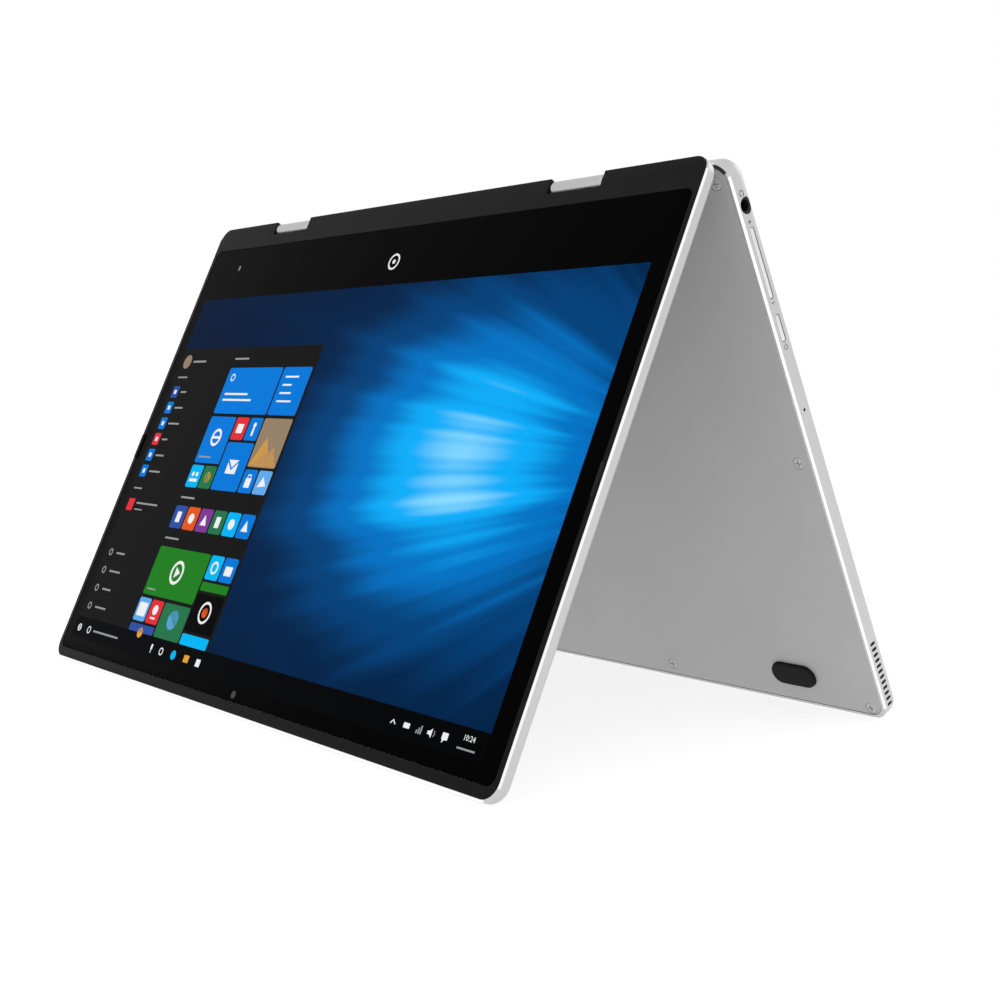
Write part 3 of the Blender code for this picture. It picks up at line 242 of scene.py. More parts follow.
def wallpaper():
    """Blue glow with soft beams of light, brightest right of the middle."""
    made, tree, shader = shader_material("wallpaper", (0.0, 0.0, 0.0), 0.06, 0.0, GLASS_SPECULAR)

    def math_node(operation, a, b=None, clamp=False):
        node = tree.nodes.new("ShaderNodeMath")
        node.operation = operation
        node.use_clamp = clamp
        for socket, value in zip(node.inputs, (a, b)):
            if value is None:
                continue
            if isinstance(value, (int, float)):
                socket.default_value = value
            else:
                tree.links.new(value, socket)
        return node.outputs[0]

    place = tree.nodes.new("ShaderNodeTexCoord")
    split = tree.nodes.new("ShaderNodeSeparateXYZ")
    tree.links.new(place.outputs["Object"], split.inputs[0])
    right, down = split.outputs["X"], split.outputs["Y"]
    # distance from the brightest place, in units of the glow's reach
    du = math_node("DIVIDE", math_node("SUBTRACT", right, GLOW_X * MM), GLOW_HALF_X * MM)
    dv = math_node("DIVIDE", math_node("SUBTRACT", down, GLOW_Y * MM), GLOW_HALF_Y * MM)
    square = math_node("ADD", math_node("MULTIPLY", du, du), math_node("MULTIPLY", dv, dv))
    reach = math_node("SQRT", square)
    core = math_node("EXPONENT", math_node("MULTIPLY", math_node("MULTIPLY", reach, reach), -0.8))
    halo = math_node("EXPONENT", math_node("MULTIPLY", reach, -0.75))
    # beams that fan out from a source right of the glow
    beam_u = math_node("SUBTRACT", SOURCE_X * MM, right)
    beam_v = math_node("SUBTRACT", down, SOURCE_Y * MM)
    fan = math_node("MULTIPLY", math_node("ARCTAN2", beam_v, beam_u), 9.0)
    join = tree.nodes.new("ShaderNodeCombineXYZ")
    tree.links.new(fan, join.inputs[0])
    stripes = tree.nodes.new("ShaderNodeTexNoise")
    stripes.inputs["Scale"].default_value = 1.3
    stripes.inputs["Detail"].default_value = 2.0
    tree.links.new(join.outputs[0], stripes.inputs["Vector"])
    beams = spread(tree, stripes.outputs["Fac"], 0.0, 1.0)
    level = math_node("ADD", math_node("MULTIPLY", core, 0.70), 0.05)
    level = math_node("ADD", level, math_node("MULTIPLY", math_node("MULTIPLY", beams, halo), 0.40), True)
    ramp = tree.nodes.new("ShaderNodeValToRGB")
    ramp.color_ramp.interpolation = "EASE"
    stops = ((0.0, (0.0003, 0.007, 0.030)), (0.20, (0.0005, 0.018, 0.068)), (0.40, (0.0008, 0.055, 0.20)),
             (0.62, (0.001, 0.17, 0.55)), (0.82, (0.004, 0.42, 0.95)), (1.0, (0.28, 0.74, 1.0)))
    while len(ramp.color_ramp.elements) < len(stops):
        ramp.color_ramp.elements.new(0.5)
    for element, (at, colour) in zip(ramp.color_ramp.elements, stops):
        element.position = at
        element.color = (*colour, 1.0)
    tree.links.new(level, ramp.inputs["Fac"])
    tree.links.new(ramp.outputs["Color"], shader.inputs["Emission Color"])
    shader.inputs["Emission Strength"].default_value = 1.0
    return made


ALUMINIUM = metal("anodised_aluminium", (0.56, 0.56, 0.565), 0.38)
CUT_EDGE = metal("cut_edge", (0.95, 0.95, 0.95), 0.16, 3000.0, 5e-7, (0.02, 0.02, 1.0), shade=0.01)
COVER_PAINT = metal("cover_paint", (0.43, 0.43, 0.434), 0.55, 7000.0, 5e-6, metallic=0.3)
HINGE_METAL = metal("hinge_satin", (0.50, 0.50, 0.50), 0.42, 6000.0, 3e-6)
BUTTON_METAL = metal("button_metal", (0.74, 0.74, 0.745), 0.3)
STEEL = metal("steel", (0.55, 0.55, 0.56), 0.3, 2500.0, 2e-6, (1.0, 0.1, 0.1))
SCREW = metal("screw_steel", (0.50, 0.50, 0.505), 0.5, 4000.0, 2e-6, metallic=0.3)
BRASS = metal("brass", (0.75, 0.55, 0.28), 0.3, 4000.0, 2e-6)
COPPER = metal("copper", (0.72, 0.40, 0.25), 0.35, 4000.0, 2e-6)
STRIP = plastic("bezel_plastic", (0.0105, 0.0105, 0.011), 0.55, specular=0.1)
RING = plastic("gasket_plastic", (0.005, 0.005, 0.0053), 0.5, specular=0.06)
RUBBER = plastic("rubber", (0.010, 0.010, 0.0105), 0.7, 3500.0, 1.5e-5, specular=0.12)
BLACK = plastic("black_plastic", (0.008, 0.008, 0.0085), 0.5)
KEY_PLASTIC = plastic("key_plastic", (0.012, 0.012, 0.013), 0.48, 4500.0, 5e-6)
LEGEND = plastic("legend_ink", (0.62, 0.62, 0.63), 0.5)
MARK = plastic("symbol_ink", (0.05, 0.05, 0.052), 0.5, specular=0.2)
BOARD_GREEN = plastic("circuit_board", (0.012, 0.07, 0.035), 0.4, 900.0, 2e-5, 0.5, 0.4)
PAD_GLASS = metal("touchpad_glass", (0.50, 0.50, 0.505), 0.3, 9000.0, 1e-6, metallic=0.35)
GLASS = black_glass()
# White glow: real screen light for the clock digits, painted glow for the home mark on the glass
WHITE_GLOW = lit("white_glow", (0.92, 0.92, 0.92), 0.9)


# ------------------------------ mesh tools
CUT, JOIN = "DIFFERENCE", "UNION"


def around(u, v, half_u, half_v):
    """Sides (u0, u1, v0, v1) of a rectangle by its middle and half sizes."""
    return u - half_u, u + half_u, v - half_v, v + half_v


def mirrored(side, a, b):
    """The two x of a span on one side of the middle, in rising order."""
    return sorted((side * a, side * b))


def rounded_rect(x0, x1, y0, y1, radius, steps=8):
    """Outline with round corners, steps segments each."""
    points = []
    for x, y, start in ((x1, y1, 0), (x0, y1, 90), (x0, y0, 180), (x1, y0, 270)):
        cx = x - radius if x == x1 else x + radius
        cy = y - radius if y == y1 else y + radius
        for i in range(steps + 1):
            angle = math.radians(start + 90 * i / steps)
            points.append((cx + radius * math.cos(angle), cy + radius * math.sin(angle)))
    return points


def circle(cu, cv, radius, steps=24):
    turn = 2 * math.pi / steps
    return [(cu + radius * math.cos(i * turn), cv + radius * math.sin(i * turn)) for i in range(steps)]


def point(axis, u, v, along):
    """Place in the plane across an axis: (x, y) across Z, or (y, z) across X."""
    return Vector((u, v, along)) if axis == "Z" else Vector((along, u, v))


def skin(bm, rings):
    """Closed solid through rings of equal count, capped at both ends."""
    rows = [[bm.verts.new(p) for p in ring] for ring in rings]
    count = len(rows[0])
    for low, high in zip(rows, rows[1:]):
        for i in range(count):
            j = (i + 1) % count
            bm.faces.new((low[i], low[j], high[j], high[i]))
    bm.faces.new(rows[0])
    bm.faces.new(rows[-1])


def stack(bm, sections, axis="Z"):
    """Solid through sections (along, outline), set across an axis."""
    skin(bm, [[point(axis, u, v, along) for u, v in outline] for along, outline in sections])


def prism(bm, outline, low, high, axis="Z"):
    stack(bm, [(low, outline), (high, outline)], axis)


def tapered(bm, outline, levels, steps, axis="Z"):
    """Solid whose outline (x0, x1, y0, y1, radius) draws in at each of levels (along, draw)."""
    x0, x1, y0, y1, radius = outline
    stack(bm, [(along, rounded_rect(x0 + draw, x1 - draw, y0 + draw, y1 - draw, radius - draw, steps))
               for along, draw in levels], axis)


def box(bm, x0, x1, y0, y1, z0, z1):
    prism(bm, [(x0, y0), (x1, y0), (x1, y1), (x0, y1)], z0, z1)


def turned(bm, cu, cv, profile, axis="Z", steps=32):
    """Solid of revolution through profile, a list of (along, radius)."""
    stack(bm, [(along, circle(cu, cv, radius, steps)) for along, radius in profile], axis)


def band(bm, points, width, low, high, axis="Z", closed=False):
    """Flat stroke of even width along points, as a thin solid."""
    sides = ([], [])
    count = len(points)
    for i, (u, v) in enumerate(points):
        before = points[i - 1] if closed or i else points[i]
        after = points[(i + 1) % count] if closed or i < count - 1 else points[i]
        du, dv = after[0] - before[0], after[1] - before[1]
        size = math.hypot(du, dv)
        for side, way in zip(sides, (1, -1)):
            side.append((u - way * dv / size * width / 2, v + way * du / size * width / 2))
    if closed:
        section = ((0, low), (0, high), (1, high), (1, low))
        rings = [[point(axis, *sides[side][i], along) for side, along in section] for i in range(count)]
        rows = [[bm.verts.new(p) for p in ring] for ring in rings]
        for i in range(count):
            a, b = rows[i], rows[(i + 1) % count]
            for j in range(4):
                k = (j + 1) % 4
                bm.faces.new((a[j], a[k], b[k], b[j]))
    else:
        prism(bm, sides[0] + sides[1][::-1], low, high, axis)


def arc(cu, cv, radius, start, end, steps=16):
    angles = [math.radians(start + (end - start) * i / steps) for i in range(steps + 1)]
    return [(cu + radius * math.cos(a), cv + radius * math.sin(a)) for a in angles]


def add_object(name, data):
    obj = bpy.data.objects.new(name, data)
    bpy.context.scene.collection.objects.link(obj)
    return obj


def new_object(name, build, body, materials):
    """Object drawn by build in millimetres, in the frame of a body."""
    bm = bmesh.new()
    build(bm)
    bmesh.ops.recalc_face_normals(bm, faces=bm.faces)
    bmesh.ops.scale(bm, vec=(MM, MM, MM), verts=bm.verts)
    mesh = bpy.data.meshes.new(name)
    bm.to_mesh(mesh)
    bm.free()
    for finish in materials:
        mesh.materials.append(finish)
    obj = add_object(name, mesh)
    obj.matrix_world = FRAMES[body]
    return obj


def baked(obj):
    """Mesh of an object as its modifiers or letters make it."""
    bpy.context.view_layer.update()
    return bpy.data.meshes.new_from_object(obj.evaluated_get(bpy.context.evaluated_depsgraph_get()))


def carve(obj, *steps):
    """Applies Boolean steps (operation, build) to obj in turn."""
    body = obj["drawn_in"]
    for operation, build in steps:
        shape = new_object("tool", build, body, ())
        modifier = obj.modifiers.new("cut", "BOOLEAN")
        modifier.operation = operation
        modifier.solver = "EXACT"
        modifier.object = shape
        mesh = baked(obj)
        obj.modifiers.clear()
        obj.data = mesh
        bpy.data.objects.remove(shape)


def smooth(obj, degrees=28.0):
    obj.data.shade_smooth()
    obj.data.set_sharp_from_angle(angle=math.radians(degrees))


def piece(name, build, body, materials, steps=(), replaces=(), rides=None):
    """A visible piece: built, cut, shaded and tied to its body."""
    obj = new_object(name, build, body, materials)
    obj["drawn_in"] = body
    carve(obj, *steps)
    smooth(obj)
    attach(obj, rides or body)
    if replaces:
        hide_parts(*replaces)
    return obj


def edge_levels(thick, chamfer, radius, steps=10):
    """Levels (z, inset) of a slab with a chamfered lower edge and a rounded upper edge."""
    levels = [(0.0, chamfer), (chamfer, 0.0)]
    for i in range(steps + 1):
        angle = 0.5 * math.pi * i / steps
        levels.append((thick - radius + radius * math.sin(angle), radius - radius * math.cos(angle)))
    return levels


def half_loft(bm, levels, rear, front=REACH):
    """Slab with the plan of a half of the laptop, drawn in at each of levels (z, inset)."""
    stack(bm, [(z, rounded_rect(inset - HALF, HALF - inset, inset - rear, front - inset,
                                max(CORNER_R - inset, 0.5), 12)) for z, inset in levels])


def hinge_span(side, grow):
    """The two x of a hinge notch, wider by grow at each end."""
    return mirrored(side, HINGE_X0 - NOTCH_SIDE - grow, HINGE_X1 + NOTCH_SIDE + grow)


def notches(bm, low, high):
    for side in (1, -1):
        prism(bm, rounded_rect(*hinge_span(side, 0.0), -12.0, NOTCH_Y, 1.0, 5), low, high)


def notch_walls(rear, low, high):
    """Builder of the blocks that a half's notches are cut from."""
    def build(bm):
        for side in (1, -1):
            box(bm, *hinge_span(side, NOTCH_WALL), rear, NOTCH_Y + NOTCH_WALL, low, high)
    return build


def mark_faces(obj, index, test):
    """Gives another material to the faces that pass a test of centre, in millimetres, and normal."""
    for face in obj.data.polygons:
        if test(face.center / MM, face.normal):
            face.material_index = index


def mark_chamfer(shell, front, rear, chamfer):
    """Bright cut edge round the lower side of a half."""
    def is_cut(centre, normal):
        edge = max(abs(centre.x) - HALF, centre.y - front, -rear - centre.y)
        return 0.0 < centre.z < chamfer and edge > -chamfer and -0.9 < normal.z < -0.3
    mark_faces(shell, 1, is_cut)


# ------------------------------ base
def lay_out_keys():
    """Keys as (row body, label, x, y, width, depth)."""
    depth = ROW_PITCH - KEY_GAP
    rows = [("key_row_function", FUNCTION_Y + FUNCTION_DEPTH / 2, FUNCTION_ROW, FUNCTION_DEPTH)]
    rows += [(name, ROWS_Y + i * ROW_PITCH + depth / 2, row, depth)
             for i, (name, row) in enumerate(FULL_ROWS.items())]
    rows.append(("bottom", ROWS_Y + 4 * ROW_PITCH + depth / 2, BOTTOM_ROW, depth))
    keys = []
    for name, y, (units, labels), row_depth in rows:
        x = KEY_UNITS * KEY_PITCH / 2
        for i, (unit, label) in enumerate(zip(units, labels)):
            row = name
            if name == "bottom":
                row = BOTTOM_GROUPS[(i >= SPACE_INDEX) + (i > SPACE_INDEX)]
            keys.append((row, label, x - unit * KEY_PITCH / 2, y, unit * KEY_PITCH - KEY_GAP, row_depth))
            x -= unit * KEY_PITCH
    return keys


KEYS = lay_out_keys()


def flared_cut(bm, outline, low, high, flare=0.15):
    """Cutter through a face at height high, with a small chamfer at the mouth."""
    tapered(bm, outline, ((low, 0.0), (high - flare, 0.0), (high, -flare), (high + 0.3, -flare)), 4)


def make_top_case():
    levels = edge_levels(BASE_THICK, BASE_CHAMFER, BASE_EDGE_R)

    def cavity(bm):
        half_loft(bm, [(-5.0, BASE_WALL), (4.0, BASE_WALL), (DECK_UNDER, BASE_WALL + 1.5)], BASE_REAR)

    def well(bm):
        reach, margin = KEY_UNITS * KEY_PITCH / 2 + WELL_MARGIN, KEY_GAP / 2 + WELL_MARGIN
        flared_cut(bm, (-reach, reach, FUNCTION_Y - margin, KEYS_END + margin, 2.2),
                   BASE_THICK - WELL_DEPTH, BASE_THICK)

    def pad(bm):
        half, gap = PAD_HALF + 0.3, 0.3
        flared_cut(bm, (-half, half, PAD_Y0 - gap, PAD_Y1 + gap, 2.0), DECK_UNDER - 0.5, BASE_THICK, 0.25)

    def windows(bm):
        for _, _, x, y, width, depth in KEYS:
            flared_cut(bm, (*around(x, y, width / 2 + 0.35, depth / 2 + 0.35), 1.1), DECK_UNDER - 0.3,
                       BASE_THICK - WELL_DEPTH, 0.1)

    def sides(bm):
        inner, outer = HALF - 4.5, HALF + 2.0
        for y, length in ((ROCKER_Y, ROCKER_LENGTH), (POWER_Y, POWER_LENGTH)):
            half = BUTTON_HEIGHT / 2
            prism(bm, rounded_rect(*around(y, SIDE_Z, length / 2, half), half - 0.01, 6), inner, outer, "X")
        turned(bm, JACK_Y, JACK_Z, [(inner, JACK_FACE_R + 0.1), (outer, JACK_FACE_R + 0.1)], "X", 40)
        turned(bm, MIC_Y, SIDE_Z, [(inner, 0.5), (outer, 0.5)], "X", 16)
        for y, z, width, height, wall, radius in PORTS:
            hole = around(y, z, width / 2 + wall + 0.15, height / 2 + wall + 0.15)
            prism(bm, rounded_rect(*hole, radius + wall, 5), -outer, -inner, "X")
        for side in (1, -1):
            low, high = mirrored(side, inner, outer)
            for i in range(SLOT_COUNT):
                y = REACH - SLOT_END - SLOT_WIDTH - i * SLOT_PITCH
                prism(bm, rounded_rect(y, y + SLOT_WIDTH, SIDE_Z - SLOT_HEIGHT / 2, SIDE_Z + SLOT_HEIGHT / 2,
                                       SLOT_WIDTH / 2 - 0.01, 4), low, high, "X")

    shell = piece("top_case_shell", lambda bm: half_loft(bm, levels, BASE_REAR), "base",
                  [ALUMINIUM, CUT_EDGE],
                  [(CUT, cavity), (JOIN, notch_walls(-1.0, 0.0, DECK_UNDER + 0.4)),
                   (CUT, well), (CUT, pad), (CUT, windows), (CUT, sides),
                   (CUT, lambda bm: notches(bm, -3.0, BASE_THICK + 3.0))],
                  ["top_case"])
    mark_chamfer(shell, REACH, BASE_REAR, BASE_CHAMFER)


def make_rear_dark_strip():
    """Black strip along the bottom of the rear edge and round its corners, broken at the notches; it darkens the
    rear corners of the base, next to the lid.
    """
    section = ((0.25, 0.32), (0.56, -0.03), (1.3, -0.03), (1.3, 0.3), (0.7, 0.6))   # (inset, z)
    steps, sweep = 12, math.radians(62.0)

    def strips(bm):
        near, far = HINGE_X0 - NOTCH_SIDE, HINGE_X1 + NOTCH_SIDE
        skin(bm, [[Vector((x, inset - BASE_REAR, z)) for inset, z in section] for x in (-near, near)])
        corner_x, corner_y = HALF - CORNER_R, CORNER_R - BASE_REAR
        for side in (1, -1):
            rings = [[Vector((side * far, inset - BASE_REAR, z)) for inset, z in section]]
            for i in range(steps + 1):
                turn_x, turn_y = math.sin(sweep * i / steps), math.cos(sweep * i / steps)
                rings.append([Vector((side * (corner_x + (CORNER_R - inset) * turn_x),
                                      corner_y - (CORNER_R - inset) * turn_y, z)) for inset, z in section])
            skin(bm, rings)
    piece("rear_dark_strip", strips, "base", [BLACK])


def make_bottom_cover():
    inset = BASE_WALL + 0.15

    def sheet(bm):
        half_loft(bm, [(0.06, inset + 0.08), (0.14, inset), (COVER_THICK, inset)], BASE_REAR)

    def holes(bm):
        for x, y in POSTS:
            turned(bm, x, y, [(-0.5, 2.1), (0.1, 2.08), (0.3, 2.0), (0.85, 1.1), (COVER_THICK + 0.5, 1.1)])
        half_x, half_y = FOOT_HALF_X + 0.15, FOOT_HALF_Y + 0.15
        for x, y in FEET.values():
            prism(bm, rounded_rect(*around(x, y, half_x, half_y), half_y - 0.01, 12), -1.0, 0.5)

    def walls(bm):
        for side in (1, -1):
            x0, x1 = mirrored(side, HINGE_X0 - 2.0, HINGE_X1 + 2.0)
            box(bm, x0, x1, -12.0, NOTCH_Y + NOTCH_WALL + 0.15, -1.0, 3.0)
    piece("bottom_cover_sheet", sheet, "base", [COVER_PAINT], [(CUT, holes), (CUT, walls)],
          ["bottom_cover"])


def make_feet():
    for name, (x, y) in FEET.items():
        def foot(bm, x=x, y=y):
            outline = (*around(x, y, FOOT_HALF_X, FOOT_HALF_Y), FOOT_HALF_Y - 0.01)
            crown = ((0.55, 0.0), (0.3, 0.08), (0.12, 0.25), (0.03, 0.5), (0.0, 0.9))
            tapered(bm, outline, [(0.2, 0.0)] + [(z - FOOT_HEIGHT, draw) for z, draw in crown], 12)
        piece(name.replace("foot_", "foot_pad_"), foot, "base", [RUBBER], replaces=[name])


def make_screws():
    """Countersunk screws with a cross recess."""
    profile = [(0.08, 1.4), (0.08, 1.6), (0.12, 1.8), (0.2, 1.9), (0.35, 1.88), (0.75, 0.8), (4.0, 0.8)]
    arm, half = 1.15, 0.27
    plus = [(arm, -half), (arm, half), (half, half), (half, arm), (-half, arm), (-half, half),
            (-arm, half), (-arm, -half), (-half, -half), (-half, -arm), (half, -arm), (half, -half)]
    for i, (x, y) in enumerate(POSTS):
        def screw(bm, x=x, y=y):
            turned(bm, x, y, profile)

        def cross(bm, x=x, y=y):
            prism(bm, [(x + u, y + v) for u, v in plus], -0.3, 0.5)
        piece("screw_%d" % (i + 1), screw, "base", [SCREW], [(CUT, cross)],
              ["bottom_screw_%d" % (i + 1)])


def make_keys():
    """Caps with a shallow dish, one piece for each row body."""
    levels = ((5.8, 0.0, 1.1), (7.2, 0.0, 1.1), (7.42, 0.06, 1.1), (7.52, 0.18, 1.1), (7.55, 0.36, 1.1),
              (7.53, 1.1, 1.3), (7.47, 2.4, 1.6))        # (z, draw, corner radius)
    for row in dict.fromkeys(key[0] for key in KEYS):
        members = [key for key in KEYS if key[0] == row]

        def caps(bm, members=members):
            for _, _, x, y, width, depth in members:
                stack(bm, [(z, rounded_rect(*around(x, y, width / 2 - draw, depth / 2 - draw), radius, 4))
                           for z, draw, radius in levels])
        piece(row + "_caps", caps, "base", [KEY_PLASTIC], replaces=[row], rides=row)
        make_legends(row, members)


def text_mesh(label, size):
    """Thin solid letters of a height in millimetres, centred on the origin."""
    curve = bpy.data.curves.new("legend", "FONT")
    curve.body = label
    curve.size = size * MM
    curve.extrude = 0.01 * MM
    curve.resolution_u = 2
    curve.align_x, curve.align_y = "CENTER", "CENTER"
    holder = add_object("legend", curve)
    mesh = baked(holder)
    bpy.data.objects.remove(holder)
    return mesh


def lettering(name, mesh, body, finish, rides):
    """A visible piece made of letters, tied to its body."""
    mesh.materials.append(finish)
    obj = add_object(name, mesh)
    obj.matrix_world = FRAMES[body]
    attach(obj, rides)


def make_legends(row, members):
    """Letters and digits on the caps, upright for someone at the front edge."""
    bm = bmesh.new()
    for _, label, x, y, _, depth in members:
        if not label:
            continue
        size = 4.6 if len(label) == 1 else 2.6
        if depth < 10.0:
            size = 2.4
        mesh = text_mesh(label, size)
        mesh.transform(Matrix.Translation(Vector((x, y, LEGEND_Z)) * MM) @ Matrix.Rotation(math.pi, 4, "Z"))
        bm.from_mesh(mesh)
        bpy.data.meshes.remove(mesh)
    if not bm.verts:
        bm.free()
        return
    mesh = bpy.data.meshes.new(row + "_legends")
    bm.to_mesh(mesh)
    bm.free()
    lettering(row + "_legends", mesh, "base", LEGEND, row)


def make_touchpad():
    def pad(bm):
        levels = ((5.6, 0.0), (7.3, 0.0), (7.44, 0.05), (7.5, 0.2), (7.5, 1.0))
        stack(bm, [(z, rounded_rect(-PAD_HALF + draw, PAD_HALF - draw, PAD_Y0 + draw, PAD_Y1 - draw,
                                    2.0 - min(draw, 0.5), 6)) for z, draw in levels])
    piece("touchpad_plate", pad, "base", [PAD_GLASS], replaces=["touchpad"],
          rides="touchpad")


def make_side_controls():
    def button(y, length):
        def build(bm):
            half, reach = length / 2 - 0.15, BUTTON_HEIGHT / 2 - 0.15
            levels = ((HALF - 3.6, 0.0), (HALF - 0.25, 0.0), (HALF - 0.1, 0.06), (HALF - 0.05, 0.2))
            tapered(bm, (*around(y, SIDE_Z, half, reach), reach - 0.01), levels, 6, "X")
        return build
    for body, y, length in (("volume_rocker", ROCKER_Y, ROCKER_LENGTH),
                            ("power_button", POWER_Y, POWER_LENGTH)):
        piece(body + "_cap", button(y, length), "base", [BUTTON_METAL], replaces=[body],
              rides=body)

    def jack(bm):
        face = HALF - 0.55
        turned(bm, JACK_Y, JACK_Z, [(face - 13.8, JACK_R), (face - 0.7, JACK_R), (face - 0.7, JACK_FACE_R),
                                    (face - 0.1, JACK_FACE_R), (face, JACK_FACE_R - 0.08), (face, 1.85),
                                    (face - 0.1, 1.75), (face - 5.0, 1.75), (face - 5.0, 1.6),
                                    (face - 12.0, 1.6)], "X", 40)
    piece("jack_socket", jack, "base", [BLACK], replaces=["audio_jack"])

    def symbols(bm):
        low, high = HALF - 0.05, HALF + 0.012
        # headphones, plus, minus and power, in the (y, z) plane of the side wall
        y = JACK_Y - 3.8
        band(bm, arc(y, SIDE_Z, 0.8, 20.0, 340.0), 0.24, low, high, "X")
        for z in (SIDE_Z - 0.55, SIDE_Z + 0.55):
            band(bm, [(y + 0.45, z), (y + 0.95, z)], 0.34, low, high, "X")
        y = ROCKER_Y - ROCKER_LENGTH / 2 - 1.5
        band(bm, [(y - 0.7, SIDE_Z), (y + 0.7, SIDE_Z)], 0.26, low, high, "X")
        band(bm, [(y, SIDE_Z - 0.7), (y, SIDE_Z + 0.7)], 0.26, low, high + 0.002, "X")
        y = ROCKER_Y + ROCKER_LENGTH / 2 + 1.2
        band(bm, [(y, SIDE_Z - 0.7), (y, SIDE_Z + 0.7)], 0.26, low, high, "X")
        y = POWER_Y + POWER_LENGTH / 2 + 1.7
        band(bm, arc(y, SIDE_Z, 0.7, 215.0, 505.0), 0.22, low, high, "X")
        band(bm, [(y - 0.5, SIDE_Z), (y - 1.2, SIDE_Z)], 0.22, low, high, "X")
    piece("side_symbols", symbols, "base", [MARK])


# ------------------------------ hinges
def make_housings():
    def stadium(radius, steps=14):
        upper = arc(0.0, AXIS_SPACING, radius, 0.0, 180.0, steps)
        return upper + [(-u, AXIS_SPACING - v) for u, v in upper]

    for word, side in (("left", 1), ("right", -1)):
        def cover(bm, side=side):
            length = HINGE_X1 - HINGE_X0
            levels = ((0.0, -0.75), (0.1, -0.45), (0.3, -0.2), (0.6, -0.04), (0.9, 0.0), (length - 0.9, 0.0),
                      (length - 0.6, -0.04), (length - 0.3, -0.2), (length - 0.1, -0.45), (length, -0.75))
            stack(bm, [(side * (HINGE_X0 + x), stadium(HOUSING_R + grow)) for x, grow in levels], "X")

        def bores(bm, side=side):
            x0, x1 = mirrored(side, HINGE_X0 - 1.0, HINGE_X0 + 19.0)
            for z in (0.0, AXIS_SPACING):
                prism(bm, circle(0.0, z, 1.6, 24), x0, x1, "X")

        def seam(bm, side=side):
            """Fine parting line between the two halves of the cover."""
            x0, x1 = mirrored(side, HINGE_X0 + 1.5, HINGE_X1 - 1.5)
            for y in (HOUSING_R, -HOUSING_R):
                box(bm, x0, x1, y - 0.08, y + 0.08, AXIS_SPACING / 2 - 0.06, AXIS_SPACING / 2 + 0.06)
        piece("hinge_cover_" + word, cover, "hinge_link", [HINGE_METAL],
              [(CUT, bores), (CUT, seam)], ["hinge_housing_" + word])


# ------------------------------ lid
def make_back_cover():
    levels = edge_levels(LID_THICK, LID_CHAMFER, LID_EDGE_R)

    def opening(bm):
        half_loft(bm, [(-2.0, RIM), (1.5, RIM)], LID_REAR + RIM + BEZEL_GAP, LID_REACH)

    def cavity(bm):
        half_loft(bm, [(1.0, INNER_WALL), (3.9, INNER_WALL)], LID_REAR, LID_REACH)

    shell = piece("back_cover_shell", lambda bm: half_loft(bm, levels, LID_REAR, LID_REACH), "lid",
                  [ALUMINIUM, CUT_EDGE],
                  [(CUT, cavity), (CUT, opening), (JOIN, notch_walls(-1.2, 1.5, 4.2)),
                   (CUT, lambda bm: notches(bm, -3.0, LID_THICK + 3.0))],
                  ["lid_back_cover"])
    mark_chamfer(shell, LID_REACH, LID_REAR, LID_CHAMFER)


def glass_rect(grow):
    """Outline of the cover glass, larger by grow."""
    reach = HALF - GLASS_EDGE + grow
    far = LID_REACH - GLASS_FAR + grow
    return rounded_rect(-reach, reach, STRIP_Y - grow, far, GLASS_CORNER + grow, 10)


def make_bezel():
    """Strip along the hinge, which reaches the hinge edge, in one piece with the ring."""
    inset = RIM + BEZEL_GAP

    def sheet(bm):
        bevel = [(BEZEL_EDGE * (1 - math.cos(a)), inset + BEZEL_EDGE * (1 - math.sin(a)))
                 for a in (math.pi / 2 * i / 5 for i in range(6))]
        half_loft(bm, bevel + [(1.2, inset)], LID_REAR + inset, LID_REACH)

    bezel = piece("bezel_ring", sheet, "lid", [STRIP, RING],
                  [(CUT, lambda bm: prism(bm, glass_rect(0.1), -2.0, 4.0)),
                   (CUT, lambda bm: notches(bm, -3.0, 6.0))],
                  ["bezel_frame"])
    mark_faces(bezel, 1, lambda centre, normal: centre.y > STRIP_Y + 1.0)

    def bumper(bm, side):
        middle = side * (HALF - (RIM + BEZEL_EDGE + GLASS_EDGE) / 2)
        half = BUMPER_LENGTH / 2
        tapered(bm, (*around(middle, BUMPER_Y0 + half, BUMPER_HALF_X, half), BUMPER_HALF_X - 0.01),
                ((0.3, 0.0), (-0.2, 0.0), (-0.38, 0.08), (-0.47, 0.2), (-0.5, 0.38)), 6)
    for word, side in (("left", 1), ("right", -1)):
        piece("bumper_pad_" + word, lambda bm, side=side: bumper(bm, side), "lid", [RUBBER],
              replaces=["lid_bumper_" + word])


